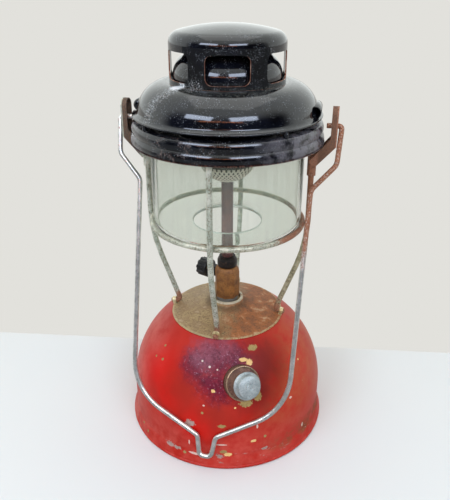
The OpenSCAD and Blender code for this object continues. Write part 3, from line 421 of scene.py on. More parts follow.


# Unglazed ceramic of the nozzle's bowl, matt cream: rows of holes below its rim, coloured near-black as
# painted shade inside them, laid out on the turned squares of a grid round the axis, and a little soot
def nozzleCeramic():
    made = newMaterial("perforated nozzle")
    place, x, y, z = millimetres()
    rowPitch, perRadian = 1.8, 8.5   # millimetres from row to row, and rows round the bowl for each radian
    turn = addNode("Math", {0: y, 1: x}, operation="ARCTAN2").outputs[0]
    out = times(fromAxis(x, y), 1 / rowPitch)
    around = addNode("CombineXYZ", {0: times(turn, perRadian), 1: out})
    grid = addNode("Mapping", {"Vector": around.outputs[0], "Rotation": (0.0, 0.0, math.radians(45))})
    cells = addNode("VectorMath", {0: grid.outputs[0]}, operation="FRACTION").outputs[0]
    away = addNode("VectorMath", {0: stretched(cells, 1.0, 1.0, 0.0), 1: (0.5, 0.5, 0.0)},
                   operation="DISTANCE").outputs["Value"]
    bowlBottom = nozzleMid - column["nozzle"]
    # Painted shade: each hole is coloured near-black for the shade inside it, and sunk a little by the bump
    shadedHoles = times(step(away, 0.34, 0.24), step(z, bowlBottom + 2.6, bowlBottom + 4.6))
    soot = times(step(noise(place, 5, 4, 0.6), 0.5, 0.7), 0.3)
    coats = [(soot, "#b4ac94", 0.8, 0.0), (times(shadedHoles, 0.9), "#24241f", 0.9, 0.0)]
    finishWith(("#fbf9ea", 0.7, 0.0), coats, times(shadedHoles, -1.0), 0.2)
    return made


# Rubber, leather, paint or bare steel of one colour, with fine specks of dirt
def plain(name, tone, rough, metal=0.0):
    made = newMaterial(name)
    fine = noise(millimetres()[0], 1.2, 3, 0.6)
    dirt = times(step(fine, 0.5, 0.7), 0.35)
    finishWith((tone, rough, metal), [(dirt, "#4a443c", 0.8, 0.0)], fine, 0.05)
    return made


# Turned brass of the pump cap: brown, with dirt in the knurl, its front rim rubbed bright
def pumpCapBrass():
    made = newMaterial("pump cap brass")
    place = millimetres()[0]
    across = []
    for row in toPump[:2]:
        along = addNode("VectorMath", {0: place, 1: row[:3]}, operation="DOT_PRODUCT")
        across.append(total(along.outputs["Value"], row[3]))
    radius = fromAxis(*across)
    medium = noise(place, 4, 5, 0.6)
    fine = noise(place, 0.8, 3, 0.6, 6)
    capR = pump["cap"]
    rim = times(step(radius, capR - 1.5, capR - 1.0), step(radius, capR + 0.1, capR - 0.25))
    tint = blended(step(medium, 0.35, 0.65), "#8a6654", "#66463a")
    coats = [
        (times(step(fine, 0.5, 0.68), 0.5), "#3a2620", 0.75, 0.1),
        (times(rim, step(fine, 0.66, 0.4), 0.9), "#b09878", 0.35, 0.7)]
    finishWith((tint, 0.5, 0.25), coats, total(medium, times(fine, 0.5)), 0.06)
    return made


print("materials")
red = redEnamel()
edgeRust = rustEdge()
legWire = platedWire("plated leg wire", 0.1, feet=0.3)
rightWire = platedWire("rusted leg wire", 0.1, feet=0.25, above=0.45, tones=("#8c8260", "#b6ae90"))
ringWire = platedWire("ring wire", 0.08, right=0.3, tones=("#a2a593", "#cfcdb8"))
leftEar = platedWire("left ear steel", 0.05, shine=0.5, foldShadeAndDirt=0.95)
rightEar = platedWire("right ear steel", 0.42, foldShadeAndDirt=0.7)
strapSteel = dirtyMetal("strap steel", "#d8caa0", "#b09868", 0.35, 0.5, "#6a5030")
brass = dirtyMetal("dirty brass", "#8a6c44", "#5f4630", 0.45, 0.6, "#3e2e22")
bodyBrass = dirtyMetal("control body brass", "#94622e", "#744820", 0.55, 0.2, "#4c321c")
scorched = dirtyMetal("scorched tube", "#5e3530", "#44262a", 0.55, 0.1, "#80605a")
collarBlack = dirtyMetal("scorched nut", "#221a18", "#15100f", 0.5, 0.4, "#4a3020")
castIron = dirtyMetal("burner casting", "#54504a", "#38332e", 0.7, 0.3, "#6a5a48")
alloy = dirtyMetal("pump knob alloy", "#a8b0ae", "#8e9694", 0.45, 0.4, "#70787a", 0.04)
washerGrey = plain("sealing washer", "#6c675c", 0.8)
wheelBlack = plain("black wheel", "#0c0c0d", 0.4)
leather = plain("leather cup", "#5c3c24", 0.7)
rubber = plain("rubber pip", "#141414", 0.7)
steel = plain("steel rod", "#a8acae", 0.3, 0.9)

print("pieces")


def polar(radius, angle):
    return radius * math.cos(math.radians(angle)), radius * math.sin(math.radians(angle))


def rotation(angle, axis):
    return Matrix.Rotation(math.radians(angle), 4, axis)


# Points of an arc, from one angle to another
def arc(cx, cz, radius, start, end, count):
    turns = [polar(radius, start + (end - start) * i / count) for i in range(count + 1)]
    return [(cx + x, cz + z) for x, z in turns]


# Turns a bmesh in millimetres into a piece that rides on a body and stands in for a CAD node
def makePiece(name, work, material, body, node=None, sharp=38.0, matrix=None):
    if matrix is not None:
        work.transform(matrix)
    work.transform(Matrix.Scale(mm, 4))
    bmesh.ops.recalc_face_normals(work, faces=work.faces)
    for face in work.faces:
        face.smooth = True
    for edge in work.edges:
        edge.smooth = len(edge.link_faces) == 2 and edge.calc_face_angle(0.0) < math.radians(sharp)
    mesh = bpy.data.meshes.new(name)
    work.to_mesh(mesh)
    work.free()
    mesh.materials.append(material)
    made = bpy.data.objects.new(name, mesh)
    bpy.context.scene.collection.objects.link(made)
    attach(made, body)
    if node:
        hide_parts(node)
    return made


# Full turn of a closed outline of (radius, height) about the Z axis
def turned(outline, segments=128):
    work = bmesh.new()
    corners = [work.verts.new((r, 0.0, z)) for r, z in outline]
    edges = []
    for i, corner in enumerate(corners):
        n = (i + 1) % len(corners)
        if outline[i][0] > 1e-6 or outline[n][0] > 1e-6:   # no edge runs along the axis
            edges.append(work.edges.new((corner, corners[n])))
    bmesh.ops.spin(work, geom=corners + edges, cent=(0, 0, 0), axis=(0, 0, 1), angle=2 * math.pi,
                   steps=segments, use_merge=True)
    bmesh.ops.remove_doubles(work, verts=work.verts, dist=0.0005)
    return work


# Faces between neighbouring rings of corners
def skin(work, rings):
    for low, high in zip(rings, rings[1:]):
        for k in range(len(low)):
            n = (k + 1) % len(low)
            work.faces.new((low[k], low[n], high[n], high[k]))


# The same, with both ends shut
def closedSkin(work, rings):
    skin(work, rings)
    work.faces.new(rings[0])
    work.faces.new(rings[-1])


# Path of a bent wire: straight stretches and true bends, as (point, direction) in its plane
def wirePath(points, bends, bendStep=6.0, straightStep=12.0):
    path = []
    vectors = [Vector(p) for p in points]
    ends = [(vectors[0], vectors[0], None)]
    for i in range(1, len(vectors) - 1):
        corner = vectors[i]
        a = (corner - vectors[i - 1]).normalized()
        b = (vectors[i + 1] - corner).normalized()
        bend = a.angle(b)
        reach = bends[i] * math.tan(bend / 2)
        ends.append((corner - a * reach, corner + b * reach, (a, b, bend)))
    ends.append((vectors[-1], vectors[-1], None))
    for i, (entry, leave, turning) in enumerate(ends):
        if turning:
            a, b, bend = turning
            normal = Vector((-a.y, a.x)) * (1 if a.x * b.y - a.y * b.x > 0 else -1)
            centre = entry + normal * bends[i]
            count = max(3, int(math.degrees(bend) / bendStep))
            for k in range(count + 1):
                t = bend * k / count
                radial = a * math.sin(t) - normal * math.cos(t)
                heading = a * math.cos(t) + normal * math.sin(t)
                path.append((centre + radial * bends[i], heading.normalized()))
        else:
            heading = (vectors[1] - vectors[0]) if i == 0 else (vectors[-1] - vectors[-2])
            path.append((entry, heading.normalized()))
        if i < len(ends) - 1:
            stop = ends[i + 1][0]
            count = int((stop - leave).length / straightStep)
            for k in range(1, count):
                path.append((leave.lerp(stop, k / count), (stop - leave).normalized()))
    return path


# Round wire swept along a path in the XZ plane, with rounded ends
def sweptWire(path, radius, sides=20):
    work = bmesh.new()
    rings = []
    for point, heading in path:
        normal = Vector((-heading.y, heading.x))
        ring = []
        for k in range(sides):
            a = 2 * math.pi * k / sides
            offset = normal * math.cos(a) * radius
            ring.append(work.verts.new((point.x + offset.x, math.sin(a) * radius, point.y + offset.y)))
        rings.append(ring)
    skin(work, rings)
    for ring in (rings[0], rings[-1]):
        cap = work.faces.new(ring)
        bmesh.ops.bevel(work, geom=list(cap.edges), offset=radius * 0.3, segments=2, profile=0.5,
                        affect="EDGES", material=-1)
    return work


# Tank: rolled foot, flared skirt, straight wall and a spherical dome that ends under the heat plate
tank = {"radius": 76.2, "wallTop": 30.0, "footRadius": 79.5, "rollRadius": 1.5, "holeRadius": 10.0,
        "sheet": 1.0}
plate = {"radius": 43.8, "sheet": 0.8, "rise": 7.0, "hubRadius": 12.7, "hubHeight": 4.7, "holeRadius": 10.5}
pump = {"turn": 28.7, "tilt": 27.5, "side": 9.6, "out": 68.2, "height": 71.3, "cap": 12.7, "capHeight": 7.0,
        "holeGap": 0.15, "flange": 9.9, "knob": 8.05, "knobGap": 9.9, "knobHeight": 5.1}
domeEnd = plate["radius"] + 0.4
tankTop = tank["wallTop"] + math.sqrt(tank["radius"] ** 2 - domeEnd ** 2)
dome = arc(0, tank["wallTop"], tank["radius"], 0, math.degrees(math.acos(domeEnd / tank["radius"])), 48)
roll = arc(tank["footRadius"] - tank["rollRadius"], tank["rollRadius"], tank["rollRadius"], -90, 60, 10)
skirt = [(78.0, 6.0), (77.3, 8.6), (76.75, 9.7), (76.3, 10.6), (tank["radius"], 12.0)]
inside = [(r - tank["sheet"], z - (tank["sheet"] if z > 80 else 0)) for r, z in reversed(dome)]
inside += [(tank["radius"] - 1, 12.0), (75.6, 9.6), (76.6, 5.0), (76.4, 1.5), (76.4, 0.0)]
tankHole = [(tank["holeRadius"], tankTop), (tank["holeRadius"], tankTop - tank["sheet"])]
tankWork = turned(roll + skirt + dome + tankHole + inside, 192)

# Round hole in the dome for the pump: the sheet's edge is drawn onto the hole's circle and closed
onPump = (rotation(pump["turn"], "Z") @ Matrix.Translation((-pump["side"], -pump["out"], pump["height"]))
          @ rotation(90 - pump["tilt"], "X"))
toPump = onPump.inverted()
holeR = pump["cap"] + pump["holeGap"]
below, above = -14, 4   # the hole's reach along the pump's axis, so that the tank's other side stays
inHole = []
for vert in tankWork.verts:
    near = toPump @ vert.co
    if near.xy.length < holeR and below < near.z < above:
        inHole.append(vert)
bmesh.ops.delete(tankWork, geom=inHole, context="VERTS")
holeRim = [e for e in tankWork.edges if e.is_boundary]
domeCentre = Vector((0, 0, tank["wallTop"]))
for vert in {v for e in holeRim for v in e.verts}:
    away = (vert.co - domeCentre).length
    for attempt in range(3):   # each turn comes closer to both the circle and the dome
        near = toPump @ vert.co
        near.xy = near.xy.normalized() * holeR
        vert.co = domeCentre + (onPump @ near - domeCentre).normalized() * away
bmesh.ops.bridge_loops(tankWork, edges=holeRim)
makePiece("tank", tankWork, red, "frame", "tank_shell", 30)

# Heat plate: shallow cone with a raised hub and a rolled lip round its hole
plateZ = tankTop + plate["sheet"]
hubZ = plateZ + plate["rise"]
hubTop = hubZ + plate["hubHeight"]
plateSlope = math.degrees(math.atan(plate["rise"] / (plate["radius"] - plate["hubRadius"])))


def plateHeight(radius):
    return plateZ + (plate["radius"] - radius) * math.tan(math.radians(plateSlope))


edgeR, hubR, holeR = plate["radius"], plate["hubRadius"], plate["holeRadius"]
outline = [
    (edgeR - 0.3, tankTop), (edgeR, tankTop + 0.35), (edgeR - 0.25, plateZ),
    (edgeR - 1.5, plateHeight(edgeR - 1.5) + 0.02), (hubR + 1.2, hubZ - 0.3), (hubR + 0.3, hubZ + 0.2),
    (hubR, hubZ + 1.0), (hubR, hubTop - 1.2), (hubR - 0.4, hubTop - 0.3), (hubR - 1.2, hubTop),
    (holeR + 0.4, hubTop), (holeR, hubTop - 0.4), (holeR, hubTop - 1.6), (hubR - 0.9, hubTop - 1.6),
    (hubR - 0.9, hubZ - 0.8), (edgeR - 1.0, tankTop)]
makePiece("heat_plate", turned(outline, 128), plateSteel(), "frame", "heat_plate", 40)

# Straps pressed over the feet of the legs: short arches of sheet
frameWire = {"radius": 2.0, "legRadius": 59.3, "ringLift": 79.0, "leanLift": 62.5, "leanBend": 110.0,
             "seatLift": 152.0, "footEnd": 1.9, "footBend": 5.6}
strap = {"sheet": 0.8, "hole": 2.05, "halfLength": 1.3, "drop": -3.0, "inFromEdge": 0.8}
footRise = frameWire["radius"] / math.cos(math.radians(plateSlope)) + 0.2   # the wire's axis above the plate
strapR = plate["radius"] - strap["inFromEdge"]
inner, outer, drop = strap["hole"], strap["hole"] + strap["sheet"], strap["drop"]
loop = arc(0, 0, outer, 0, 180, 14) + [(-outer, drop), (-inner, drop)]
loop += arc(0, 0, inner, 180, 0, 14) + [(inner, drop), (outer, drop)]
for turn in (0, 90, 180, 270):
    work = bmesh.new()
    closedSkin(work, [[work.verts.new((end, across, up)) for across, up in loop]
                      for end in (-strap["halfLength"], strap["halfLength"])])
    place = (rotation(turn, "Z") @ Matrix.Translation((strapR, 0, plateHeight(strapR) + footRise))
             @ rotation(plateSlope, "Y"))
    makePiece("foot_strap_%d" % turn, work, strapSteel, "frame", matrix=place)

# Control column: an eight-sided body with softened corners
column = {"corner": 9.74, "bodyTurn": -91.5, "bodyHeight": 25.5, "nutHeight": 9.0, "tubeRadius": 4.4,
          "tubeBore": 3.4, "tubeHeight": 91.0, "nozzle": 22.0, "nozzleWall": 0.9, "nozzleDrop": 13.0,
          "neck": 4.9}
bodyZ = hubTop + 1.0
bodyTop = bodyZ + column["bodyHeight"]
tubeTop = bodyTop + column["tubeHeight"]
work = bmesh.new()
rings = []
for narrower, z in ((0.84, bodyZ), (0.34, bodyZ + 0.4), (0.0, bodyZ + 1.0), (0.0, bodyTop - 4.5),
                    (0.44, bodyTop - 2.2), (1.54, bodyTop - 0.5), (2.14, bodyTop)):
    corners = [polar(column["corner"] - narrower, 45 * k + column["bodyTurn"]) for k in range(8)]
    rings.append([work.verts.new((x, y, z)) for x, y in corners])
closedSkin(work, rings)
upright = [e for e in work.edges if abs(e.verts[0].co.z - e.verts[1].co.z) > 0.5]
bmesh.ops.bevel(work, geom=upright, offset=0.7, segments=3, profile=0.5, affect="EDGES", material=-1)
makePiece("control_body", work, bodyBrass, "frame", "control_body", 30)

# Collar nut over the column, and the vaporiser tube with its collar
nutZ = bodyTop + 0.05
nutTop = nutZ + column["nutHeight"]
outline = [
    (4.5, nutZ), (6.4, nutZ), (7.3, nutZ + 0.8), (7.6, nutZ + 2.2), (7.5, nutZ + 5.6), (6.9, nutTop - 2.0),
    (6.3, nutTop - 1.6), (6.3, nutTop - 0.4), (5.9, nutTop), (4.5, nutTop)]
makePiece("collar_nut", turned(outline, 64), collarBlack, "frame", "vaporiser_nut", 40)
tubeR, bore = column["tubeRadius"], column["tubeBore"]
outline = [
    (bore, bodyTop + 0.5), (tubeR, bodyTop + 0.5), (tubeR, tubeTop - 10), (tubeR + 1.2, tubeTop - 9.9),
    (tubeR + 1.2, tubeTop - 8.1), (tubeR, tubeTop - 8.0), (tubeR, tubeTop), (bore, tubeTop)]
makePiece("vaporiser", turned(outline, 48), scorched, "frame", "vaporiser_tube", 40)

# Perforated nozzle cap: a bowl of one wall thickness, open at the neck
nozzleMid = tubeTop - 10 - column["nozzleDrop"] + column["nozzle"]
burnerZ = tubeTop - 8.0
outerR, innerR = column["nozzle"], column["nozzle"] - column["nozzleWall"]
rimAngle = -math.degrees(math.asin((nozzleMid - burnerZ + 0.05) / outerR))
outline = arc(0, nozzleMid, outerR, rimAngle, -math.degrees(math.acos(column["neck"] / outerR)), 24)
outline += arc(0, nozzleMid, innerR, -math.degrees(math.acos(column["neck"] / innerR)), rimAngle, 24)
makePiece("nozzle_cap", turned(outline, 96), nozzleCeramic(), "frame", "nozzle_cap", 40)

# Glass: a straight cylinder with a rounded, turned-in bottom edge resting on the ring
glass = {"radius": 54.0, "wall": 2.2, "edge": 7.0, "hole": 25.0}
seatZ = tankTop + frameWire["seatLift"]
ringZ = tankTop + frameWire["ringLift"]
ringR = frameWire["legRadius"] - 2 * frameWire["radius"] - 0.05
midR = glass["radius"] - glass["edge"]
glassLift = math.sqrt((frameWire["radius"] + glass["edge"] + 0.2) ** 2 - (ringR - midR) ** 2)
glassZ = ringZ + glassLift - glass["edge"]
glassTop = seatZ - 0.2
halfWall = glass["wall"] / 2
outline = arc(midR, glassZ + glass["edge"], glass["edge"], -90, 0, 12)
outline += arc(glass["radius"] - halfWall, glassTop - halfWall, halfWall, 0, 180, 8)
outline += arc(midR, glassZ + glass["edge"], glass["edge"] - glass["wall"], 0, -90, 10)
outline += arc(glass["hole"] + halfWall, glassZ + halfWall, halfWall, 90, 270, 8)
makePiece("glass", turned(outline, 160), clearGlass(), "frame", "glass_globe", 60)

# Ring and the four legs: upright, then leaning in to the plate, then flat along it
outline = arc(ringR, ringZ, frameWire["radius"], 0, 337.5, 15)
makePiece("glass_ring", turned(outline, 128), ringWire, "frame", "support_ring", 60)
footBend = plate["radius"] - frameWire["footBend"]
footEnd = plate["radius"] + frameWire["footEnd"]
legPoints = [
    (frameWire["legRadius"], seatZ - 0.05), (frameWire["legRadius"], tankTop + frameWire["leanLift"]),
    (footBend, plateHeight(footBend) + footRise), (footEnd, plateHeight(footEnd) + footRise)]
legPath = wirePath(legPoints, [0, frameWire["leanBend"], 3.0, 0])
legs = (("right", 0, rightWire), ("back", 90, legWire), ("left", 180, legWire), ("front", -90, legWire))
for side, turn, metal in legs:
    makePiece("leg_" + side, sweptWire(legPath, frameWire["radius"]), metal, "frame",
              "leg_" + side, 60, rotation(turn, "Z"))

# Bail: one wire with a finger notch, hanging against the tank
bail = {"wire": 1.75, "reach": 241.5, "halfWidth": 60.5, "hookX": 77.6, "hookDrop": 25.7, "elbow": 17.8,
        "tip": 67.4, "cornerBend": 42.0, "notch": 15.0, "notchHalf": 4.3, "mouthHalf": 6.7, "sweep": 0.51614,
        "sideLean": 3.8 / 157, "pivotDrop": 1.1}
elbowZ = bail["hookDrop"] + bail["elbow"]
cornerZ = bail["reach"] - bail["notch"] - bail["sweep"] * (bail["halfWidth"] - bail["mouthHalf"])
cornerX = bail["halfWidth"] - bail["sideLean"] * (cornerZ - elbowZ)
half = [
    (bail["notchHalf"], -bail["reach"]), (bail["mouthHalf"], bail["notch"] - bail["reach"]),
    (cornerX, -cornerZ), (bail["halfWidth"], -elbowZ), (bail["hookX"] - 1.4, -bail["hookDrop"]),
    (bail["hookX"], 0.0), (bail["tip"], 0.0)]
halfBends = [4.0, 5.0, bail["cornerBend"], 8.0, 8.0, 2.2, 0.0]
bailPath = wirePath([(-x, z) for x, z in reversed(half)] + half, halfBends[::-1] + halfBends, 5.0)
hang = math.asin((tank["radius"] + bail["wire"] + 0.5) / (bail["reach"] - bail["notch"]))
place = Matrix.Translation((0, 0, seatZ - bail["pivotDrop"])) @ Matrix.Rotation(-hang, 4, "X")
makePiece("bail", sweptWire(bailPath, bail["wire"]), bailWire(), "bail", "bail", 60, place)

# Hood: domed top with a rolled lip and a hole that the chimney stands over
hood = {"rim": 66.8, "skirtHeight": 13.4, "sheet": 0.9, "gap": 3.6, "lip": 64.1, "dome": 61.4, "round": 20.9,
        "seatHole": 33.0, "louver": 4.2, "louverLength": 24.0}
chimney = {"radius": 38.8, "posts": 6, "postWidth": 10.8, "window": 18.0, "corner": 4.5, "shoulder": 8.0,
           "turn": 11.0, "domeRadius": 130.0, "flange": 2.7}
seatTop = seatZ + hood["sheet"]
rimZ = seatTop - hood["skirtHeight"] - hood["sheet"]
lipZ = seatTop + hood["gap"]
domeMidR = hood["dome"] - hood["round"]
domeMidZ = lipZ + 1.2
domeTop = domeMidZ + hood["round"]
domeBlack = blackEnamel("black enamel")
holeR = chimney["radius"] - hood["sheet"] - 0.6
lipR = hood["lip"]
outline = [(holeR, domeTop)] + arc(domeMidR, domeMidZ, hood["round"], 90, 8, 30)
outline += [(lipR - 2.65, domeMidZ + 1.9), (lipR - 2.1, domeMidZ + 1.2), (lipR - 1.2, domeMidZ + 0.55),
            (lipR - 0.2, domeMidZ + 0.1)]
outline += arc(lipR, lipZ + 0.65, 0.62, 60, -90, 6)
outline += [(lipR - 0.8, lipZ + 0.1), (lipR - 1.5, lipZ + 0.9), (lipR - 2.7, lipZ + 1.6),
            (lipR - 3.4, lipZ + 2.6)]
outline += arc(domeMidR, domeMidZ, hood["round"] - hood["sheet"], 8, 90, 24)
outline.append((holeR, domeTop - hood["sheet"]))
makePiece("hood_dome", turned(outline, 160), domeBlack, "hood", "hood_dome", 40)

# Louvers pressed out of the dome's sides: place along the length and how much narrower than full there.
# One end runs out into the dome, the other is open, so its rings turn back inside.
louverRings = [(0.45, 1.2), (-0.48, 0.9), (-0.5, 0.65), (-0.5, 0.25), (-0.485, 0.0), (0.38, 0.0), (0.44, 0.4),
               (0.48, 1.3), (0.5, 2.6)]
louverX, louverZ, louverBack = hood["dome"] - 1.9, lipZ + 5, hood["dome"] - 4.2
louvers = bmesh.new()
for side in (0, 180):
    rings = []
    for share, narrower in louverRings:
        y = share * hood["louverLength"]
        circle = arc(louverX, louverZ, hood["louver"] - narrower, 0, 348.75, 31)
        rings.append([louvers.verts.new((max(x, louverBack), y, z)) for x, z in circle])
    closedSkin(louvers, rings)
    bmesh.ops.rotate(louvers, verts=[v for ring in rings for v in ring], cent=(0, 0, 0),
                     matrix=rotation(side, "Z").to_3x3())
makePiece("hood_louvers", louvers, domeBlack, "hood", sharp=50)

# Skirt with two rolled beads and the turned-in seat that rests on the legs
wallHeight = seatTop - rimZ
wallSteps = 36
outer = []
for i in range(1, wallSteps):
    u = i / wallSteps
    bead = 1.1 * abs(math.sin(2 * math.pi * u)) ** 0.8
    outer.append((hood["rim"] - 1.1 - 1.6 * u + bead, rimZ + wallHeight * u))
inner = [(r - 1.0, z) for r, z in reversed(outer) if z < seatZ - 0.2]
outline = arc(hood["rim"] - 0.9, rimZ + 0.85, 0.85, 180, 360, 8) + outer
outline += [(63.6, seatTop), (hood["seatHole"], seatTop), (hood["seatHole"], seatZ), (62.8, seatZ)] + inner
skirtBlack = blackEnamel("scuffed black enamel", True)
makePiece("hood_skirt", turned(outline, 160), skirtBlack, "hood", "hood_skirt", 35)

# Inner flue seen through the windows: a straight pipe that rounds in to its mouth
flue = {"radius": 36.6, "mouth": 27.0, "rise": 15.0, "start": 2.5}
flueZ = domeTop + flue["start"]
flueStep = flue["radius"] - flue["mouth"]
flueRound = (flueStep ** 2 + flue["rise"] ** 2) / (2 * flueStep)
flueMidR = flue["radius"] - flueRound
mouthAngle = math.degrees(math.asin(flue["rise"] / flueRound))
sheet = hood["sheet"]
outline = [(hood["seatHole"], seatTop), (flue["radius"], seatTop)]
outline += arc(flueMidR, flueZ, flueRound, 0, mouthAngle, 16)
outline += arc(flueMidR, flueZ, flueRound - sheet, mouthAngle, 0, 16)
outline += [(flue["radius"] - sheet, seatTop + sheet), (hood["seatHole"], seatTop + sheet)]
flueBlack = blackEnamel("flue enamel")
makePiece("inner_flue", turned(outline, 128), flueBlack, "hood", "inner_flue", 40)

# Chimney: a wall with windows between posts, a rounded shoulder and a nearly flat top.
# Its columns are (angle, whether it is a window's, how much of the corner round is left there).
chimneyR = chimney["radius"]
windowZ = domeTop + 2.0
windowTop = windowZ + chimney["window"]
shoulderZ = windowTop + 3.5
spacing = 360 / chimney["posts"]
halfWindow = chimneyR * math.sin(math.pi / chimney["posts"]) - chimney["postWidth"] / 2
halfAngle = math.degrees(math.asin(halfWindow / chimneyR))
flatAngle = math.degrees(math.asin((halfWindow - chimney["corner"]) / chimneyR))
cornerAngle = halfAngle - flatAngle
columns = []
for k in range(chimney["posts"]):
    middle = -90 + chimney["turn"] + spacing * k
    for j in range(7):
        s, c = math.sin(j / 6 * math.pi / 2), math.cos(j / 6 * math.pi / 2)
        columns.append((middle - flatAngle - cornerAngle * c, True, 1 - s))
    for j in range(1, 12):
        columns.append((middle - flatAngle + 2 * flatAngle * j / 12, True, 0.0))
    for j in range(7):
        s, c = math.sin(j / 6 * math.pi / 2), math.cos(j / 6 * math.pi / 2)
        columns.append((middle + flatAngle + cornerAngle * s, True, 1 - c))
    for j in range(1, 6):
        columns.append((middle + halfAngle + (spacing - 2 * halfAngle) * j / 6, False, 1.0))
shoulderR = chimneyR - chimney["shoulder"]
crownR = chimney["domeRadius"] - chimney["shoulder"]
crownZ = shoulderZ - math.sqrt(crownR ** 2 - shoulderR ** 2)
profile = arc(shoulderR, shoulderZ, chimney["shoulder"], 0, 68, 10)[1:]
profile += arc(0, crownZ, chimney["domeRadius"], math.degrees(math.acos(shoulderR / crownR)), 89.2, 10)
shell = bmesh.new()
grid = []
for angle, isWindow, cornerLeft in columns:
    rounding = chimney["corner"] * cornerLeft
    wall = [(chimneyR + chimney["flange"], domeTop + 0.02), (chimneyR, domeTop), (chimneyR, domeTop + 1.0),
            (chimneyR, windowZ + rounding), (chimneyR, windowTop - rounding), (chimneyR, shoulderZ)]
    grid.append((isWindow, [shell.verts.new((*polar(r, angle), z)) for r, z in wall + profile]))
windowRow = 3   # between the window's lower and upper edge
for i, (isWindow, first) in enumerate(grid):
    nextIsWindow, second = grid[(i + 1) % len(grid)]
    for row in range(len(first) - 1):
        if not (row == windowRow and isWindow and nextIsWindow):
            shell.faces.new((first[row], second[row], second[row + 1], first[row + 1]))
shell.faces.new([line[-1] for isWindow, line in grid])
bmesh.ops.remove_doubles(shell, verts=shell.verts, dist=0.0005)
chimneyPiece = makePiece("chimney", shell, domeBlack, "hood", "chimney_cap", 40)
chimneyPiece.data.materials.append(edgeRust)
wallSheet = chimneyPiece.modifiers.new("sheet", "SOLIDIFY")
wallSheet.thickness = hood["sheet"] * mm
wallSheet.offset = -1.0
wallSheet.material_offset_rim = 1   # the cut edges of the windows rust

# Pump: knurled cap and knob, drawn along the pump's own axis
capR, capBack = pump["cap"], -pump["capHeight"]
outline = [
    (2.6, -2.1), (2.6, -1.2), (capR - 1.6, -1.2), (capR - 1.15, -0.9), (capR - 1.0, -0.2), (capR - 0.7, 0.0),
    (capR - 0.3, -0.1), (capR - 0.02, -0.5), (capR, -0.9), (capR, capBack + 0.8), (capR - 0.3, capBack),
    (capR - 1.5, capBack), (capR - 1.5, -2.1)]
capSegments, knurlDepth = 288, 0.5   # every knurl takes four segments, two of them sunk
cap = turned(outline, capSegments)
for vert in cap.verts:
    radius = math.hypot(vert.co.x, vert.co.y)
    segment = round(math.degrees(math.atan2(vert.co.y, vert.co.x)) * capSegments / 360)
    if radius > capR - 0.01 and segment % 4 in (1, 2):
        vert.co.xy *= 1 - knurlDepth / radius
makePiece("pump_cap", cap, pumpCapBrass(), "frame", "pump_cap", 30, onPump)
gap, flange, knob = pump["knobGap"], pump["flange"], pump["knob"]
knobTop = gap + pump["knobHeight"]
outline = [
    (0, 0.6), (4.6, 0.6), (5.0, 1.0), (5.0, gap - 2.4), (6.0, gap - 1.7), (flange - 0.9, gap - 1.6),
    (flange - 0.2, gap - 1.3), (flange, gap - 0.8), (flange - 0.2, gap - 0.3), (flange - 0.8, gap),
    (knob + 0.45, gap + 0.1), (knob + 0.1, gap + 0.5), (knob, knobTop - 0.9), (knob - 0.25, knobTop - 0.3),
    (knob - 0.8, knobTop), (2.7, knobTop), (2.4, knobTop - 0.3), (1.7, knobTop - 0.3), (1.4, knobTop),
    (0, knobTop)]
makePiece("pump_knob", turned(outline, 96), alloy, "plunger", "pump_knob", 40, onPump)

# CAD nodes that keep their own shape get a finish
finishes = {
    "tank_bottom": red, "tank_boss": brass, "pickup_tube": brass, "boss_washer": washerGrey,
    "gland_nut": collarBlack, "jet_nipple": brass, "burner_body": castIron, "ear_left": leftEar,
    "ear_right": rightEar, "pump_seat": brass, "pump_barrel": brass, "pump_washer": washerGrey,
    "pump_valve": brass, "hood_spacers": domeBlack, "pump_rod": steel, "piston_cup": leather,
    "piston_nut": brass, "control_wheel": wheelBlack, "control_spindle": brass, "pricker_rod": steel,
    "valve_pip": rubber}
for node, material in finishes.items():
    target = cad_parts[node]
    target.data.materials.clear()
    target.data.materials.append(material)

print("studio")
camera = {"distance": 394.2, "height": 336.6, "azimuth": 11.0, "pitch": -26.02, "pan": 0.252, "lens": 41.4}
studio = {"backdrop": "#e2e1dc", "floor": "#e2e4de", "floorHalf": 14.0, "wallLeft": (-249.6, 54.6),
          "wallRight": (200.8, 107.4), "lampDistance": 1.6, "lampAim": 0.25}

# Pale table that ends in a pale wall behind the lantern
work = bmesh.new()
bmesh.ops.create_grid(work, x_segments=1, y_segments=1, size=studio["floorHalf"],
                      matrix=Matrix.Translation((0, 0, -0.0002)))
floorMesh = bpy.data.meshes.new("floor")
work.to_mesh(floorMesh)
work.free()
floor = bpy.data.objects.new("floor", floorMesh)
bpy.context.scene.collection.objects.link(floor)
floorMesh.materials.append(newMaterial("pale floor"))
place = millimetres()[0]
(x1, y1), (x2, y2) = studio["wallLeft"], studio["wallRight"]
run = math.hypot(x2 - x1, y2 - y1)
toWall = ((y1 - y2) / run, (x2 - x1) / run, 0.0)
back = addNode("VectorMath", {0: place, 1: toWall}, operation="DOT_PRODUCT").outputs["Value"]
wallAt = x1 * toWall[0] + y1 * toWall[1]
cloud = noise(place, 160, 3, 0.5)
tone = blended(times(step(cloud, 0.3, 0.8), 0.25), studio["floor"], "#dadedd")
mirrored = addNode("LightPath").outputs["Is Glossy Ray"]   # metal shows a darker table
tone = blended(times(mirrored, step(back, wallAt - 20, wallAt - 130), 0.7), tone, "#20242a")
table = addNode("BsdfPrincipled", {"Base Color": tone, "Roughness": 0.75, "Specular IOR Level": 0.2})
wall = addNode("Emission", {"Color": studio["backdrop"], "Strength": 1.0})
behind = step(back, wallAt - 1.0, wallAt + 1.0)
mixed = addNode("MixShader", {0: behind, 1: table.outputs[0], 2: wall.outputs[0]})
addNode("OutputMaterial", {"Surface": mixed.outputs[0]})

